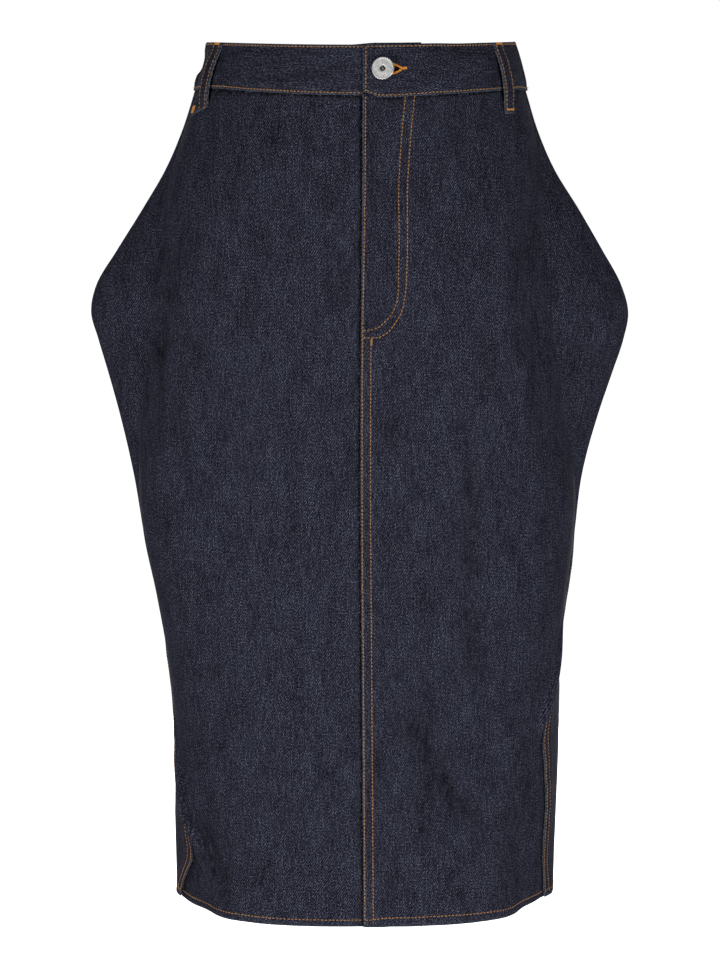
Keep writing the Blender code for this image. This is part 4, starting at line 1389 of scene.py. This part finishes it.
def turned_piece(name, profile, sides):
    """A turned piece: a filled circle, extruded and scaled along its outline."""
    bpy.ops.object.select_all(action="DESELECT")
    radius, height = profile[0]
    place = (0, 0, height * MM)
    bpy.ops.mesh.primitive_circle_add(vertices=sides, radius=radius * MM, fill_type="NGON", location=place)
    piece = bpy.context.object
    piece.name = piece.data.name = name
    bpy.ops.object.mode_set(mode="EDIT")
    bpy.ops.mesh.select_all(action="SELECT")
    for wide, high in profile[1:]:
        step = {"value": (0, 0, (high - height) * MM)}
        bpy.ops.mesh.extrude_region_move(TRANSFORM_OT_translate=step)
        share = wide / radius
        bpy.ops.transform.resize(value=(share, share, 1), center_override=(0, 0, high * MM))
        radius, height = wide, high
    bpy.ops.mesh.select_all(action="SELECT")
    bpy.ops.mesh.normals_make_consistent(inside=False)
    bpy.ops.object.mode_set(mode="OBJECT")
    bpy.ops.object.transform_apply(location=True, rotation=True, scale=True)
    return piece


# %% The button's metal
def button_metal(name, dark, light, roughness):
    """Grained silver metal with fine scratches."""
    finish = Finish(name, roughness, 0.5, metallic=1.0)
    grain, cloud = finish.mottle(2600, 3), finish.mottle(420, 2)
    value = finish.plus(finish.math("MULTIPLY", cloud, 0.45), 0.55, grain)
    colour = finish.ramp(value, ((0.35, *dark), (0.65, *light)))
    rough = finish.plus(roughness, 0.2, cloud)
    return finish.done(colour, Roughness=rough, Normal=finish.bump(grain, 0.05, 0.5))


# %% The button in its place
tack_button = turned_piece("tack_button_metal", BUTTON_PROFILE, BUTTON_SIDES)
tack_button.data.materials.append(button_metal("button_metal", (0.50, 0.495, 0.485), (0.86, 0.855, 0.84), 0.40))
# The second metal is dark: painted shade for the eye's hollow
tack_button.data.materials.append(button_metal("button_eye_shaded_metal", (0.07, 0.07, 0.07), (0.30, 0.30, 0.29), 0.5))
for face in tack_button.data.polygons:
    middle = face.center / MM
    if SHADED_EYE_LOW < middle.z < SHADED_EYE_HIGH and math.hypot(middle.x, middle.y) < SHADED_EYE_RADIUS:
        face.material_index = 1
for vertex in tack_button.data.vertices:
    x, above_foot = vertex.co.x / MM, vertex.co.z / MM - CAP_FOOT
    if above_foot > 0:
        share = min(above_foot / CAP_EASES, 1)
        lean = math.radians(CAP_LEAN) * share
        vertex.co.x = (x * math.cos(lean) - above_foot * math.sin(lean) + CAP_ASIDE * share) * MM
        vertex.co.z = (CAP_FOOT + x * math.sin(lean) + above_foot * math.cos(lean) + CAP_LIFT * share) * MM
foot_point, foot_normal = skin(np.array([BUTTON_ROUND]), np.array([BUTTON_DOWN]))
upright = Vector(foot_normal[0]).to_track_quat("Z", "Y").to_matrix().to_4x4()
tack_button.data.transform(Matrix.Translation(Vector(foot_point[0]) * MM) @ upright)
bpy.ops.object.shade_smooth_by_angle(angle=math.radians(50))
print("button:", len(tack_button.data.polygons), "faces")

# %% [markdown]
# ## The zip's teeth and slider
# A closed chain is two rows of teeth that interlock. One tooth is a cube with its edges bevelled, copied
# from side to side down the tape. The slider keeps its solid, and gets dull brass.


# %% Brass and the teeth
def brass_material():
    """Dull brass with a cloudy bloom."""
    finish = Finish("dull_brass", 0.42, 0.5, metallic=1.0)
    cloud = finish.mottle(700, 4)
    colour = finish.ramp(cloud, ((0.3, 0.30, 0.21, 0.09), (0.7, 0.62, 0.46, 0.24)))
    return finish.done(colour, Roughness=finish.plus(0.25, 0.3, cloud))


BRASS = brass_material()
TOOTH_SIZE, TOOTH_PITCH, TOOTH_ASIDE, TOOTH_LIFT = (3.0, 1.0, 0.75), 1.3, 0.75, 1.12
bpy.ops.object.select_all(action="DESELECT")
bpy.ops.mesh.primitive_cube_add(size=1, location=(0, 0, 0))
tooth = bpy.context.object
bpy.ops.object.mode_set(mode="EDIT")
bpy.ops.mesh.select_all(action="SELECT")
bpy.ops.mesh.bevel(offset=0.18, segments=1, affect="EDGES")
bpy.ops.object.mode_set(mode="OBJECT")
tooth_points = np.array([v.co for v in tooth.data.vertices]) * TOOTH_SIZE
tooth_faces = [list(p.vertices) for p in tooth.data.polygons]
bpy.data.objects.remove(tooth, do_unlink=True)
tooth_down = np.arange(SHIELD_TOP + 2, ZIP_BOTTOM - 2, TOOTH_PITCH)
tooth_round = seam("fly", tooth_down) + FLY_EDGE_UNDER + GAP + ZIP_WIDTH / 2
tooth_round = tooth_round + np.where(np.arange(len(tooth_down)) % 2, TOOTH_ASIDE, -TOOTH_ASIDE)
chain_points, chain_faces = [], []
for at, out in zip(*skin(tooth_round, tooth_down)):
    aside = unit(np.cross((0.0, 0.0, -1.0), out))
    shaped = at + out * TOOTH_LIFT + tooth_points @ np.stack([aside, np.cross(out, aside), out])
    chain_faces += [[v + len(chain_points) * len(tooth_points) for v in face] for face in tooth_faces]
    chain_points.append(shaped)
chain = bpy.data.meshes.new("zip_teeth")
chain.from_pydata((np.concatenate(chain_points) * MM).tolist(), [], chain_faces)
chain.materials.append(BRASS)
zip_teeth = put_in_scene("zip_teeth", chain)
slider = frame["nodes"]["zip_slider"]
slider.data.materials.clear()
slider.data.materials.append(BRASS)
print("zip:", len(chain_points), "teeth")

# %% [markdown]
# ## Putting each piece on the frame
# Each piece rides on the skirt's one body, and the solid it stands for is hidden. Every sheet of cloth also
# prints how large it was cut. A panel's flat area is worked out as its width, added up over its height.


# %% Pieces on the body, and their cuts
SHEETS = (
    (front_left, "front_left", "denim", left_round, PANEL_ROWS, "hung"),
    (front_right, "front_right", "denim", right_round, PANEL_ROWS, "hung"),
    (back_left, "back_left", "denim", left_back_round, PANEL_ROWS, "hung"),
    (back_right, "back_right", "denim", right_back_round, PANEL_ROWS, "hung"),
    (waistband, "waistband", "denim", band_round, band_rows, "folded"),
    (fly_shield, "fly_shield", "denim", shield_round, shield_rows, "folded"),
    (zip_tape, "zip", "zip_tape", zip_round, zip_rows, "hung"),
    *(
        (loop, f"belt_loop_{side}", "denim", places, loop_rows, "folded")
        for side, (loop, places) in loops.items()
    ),
)
for piece, node, slot, round_, down, held in SHEETS:
    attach(piece, BODY)
    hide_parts(node)
    widths = round_[:, -1] - round_[:, 0]
    size = (float(widths.max()) / 1000, float(np.ptp(down)) / 1000)
    area = float(((widths[1:] + widths[:-1]) / 2 * np.diff(down)).sum()) / 1e6
    print(piece.name, "cut", [round(value, 3) for value in size])
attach(tack_button, BODY)
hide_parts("tack_button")
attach(zip_teeth, BODY)
for piece in (thread_front, thread_back, thread_waistband, thread_loops, thread_bartacks, buttonhole):
    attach(piece, BODY)

# %% [markdown]
# ## Light, floor and camera
# Dark cloth needs large soft lights, and they stand to the sides, or its folds vanish. Two boxes light the
# front from both sides, a little from below, and two more light the back. The floor is plain and pale. The
# camera looks slightly down on the skirt through a long lens, which keeps the skirt's sides upright.


# %% The floor
finish = Finish("studio_paper", 0.9, 0.1)
colour = finish.ramp(finish.mottle(2.0, 2), ((0.3, 0.90, 0.90, 0.90), (0.7, 0.94, 0.94, 0.94)))
paper = finish.done(colour, **{"Emission Color": (1, 1, 1, 1), "Emission Strength": 0.9})
FLOOR_DOWN = 1000
bpy.ops.object.select_all(action="DESELECT")
bpy.ops.mesh.primitive_plane_add(size=60, location=(0, 0, -FLOOR_DOWN * MM))
floor = bpy.context.object
floor.name = "floor"
floor.data.materials.append(paper)
floor.visible_diffuse = floor.visible_glossy = False

# %% The lights
AIM, AMBIENT = (0, 0, -0.38), 0.2
BOXES = (
    ("box_front_right", (1.15, -1.5, -0.95), 0.8, 0.9, 38),
    ("box_front_left", (-1.15, -1.5, -0.75), 0.8, 0.9, 26),
    ("box_back_left", (-0.5, 2.0, -0.4), 0.9, 1.2, 20),
    ("box_back_right", (0.6, 2.0, -0.5), 0.9, 1.2, 20),
)
for name, place, wide, high, power in BOXES:
    light = bpy.data.lights.new(name, "AREA")
    light.shape, light.size, light.size_y, light.energy = "RECTANGLE", wide, high, power
    lamp = put_in_scene(name, light)
    lamp.location = place
    lamp.rotation_euler = (Vector(AIM) - Vector(place)).to_track_quat("-Z", "Y").to_euler()
    lamp.visible_camera = False
print("soft boxes:", len(BOXES))

world = bpy.data.worlds.new("studio")
bpy.context.scene.world = world
world.use_nodes = True
nodes, links = world.node_tree.nodes, world.node_tree.links
sky, path, brightness = nodes["Background"], nodes.new("ShaderNodeLightPath"), nodes.new("ShaderNodeMapRange")
sky.inputs[0].default_value = (1, 1, 1, 1)
brightness.inputs["To Min"].default_value = AMBIENT
brightness.inputs["To Max"].default_value = 1.0
links.new(path.outputs["Is Camera Ray"], brightness.inputs["Value"])
links.new(brightness.outputs[0], sky.inputs[1])

# %% The camera
CAMERA_BACK, CAMERA_DOWN, CAMERA_PITCH, CAMERA_LENS = 2200, 78, 7.3116, 99.73
camera = put_in_scene("camera", bpy.data.cameras.new("camera"))
camera.data.lens = CAMERA_LENS
camera.data.sensor_width = 36
camera.location = (0, -CAMERA_BACK * MM, -CAMERA_DOWN * MM)
camera.rotation_euler = (math.radians(90 - CAMERA_PITCH), 0, 0)
bpy.context.scene.camera = camera
bpy.context.scene.view_settings.view_transform = "Standard"
bpy.context.scene.view_settings.look = "None"
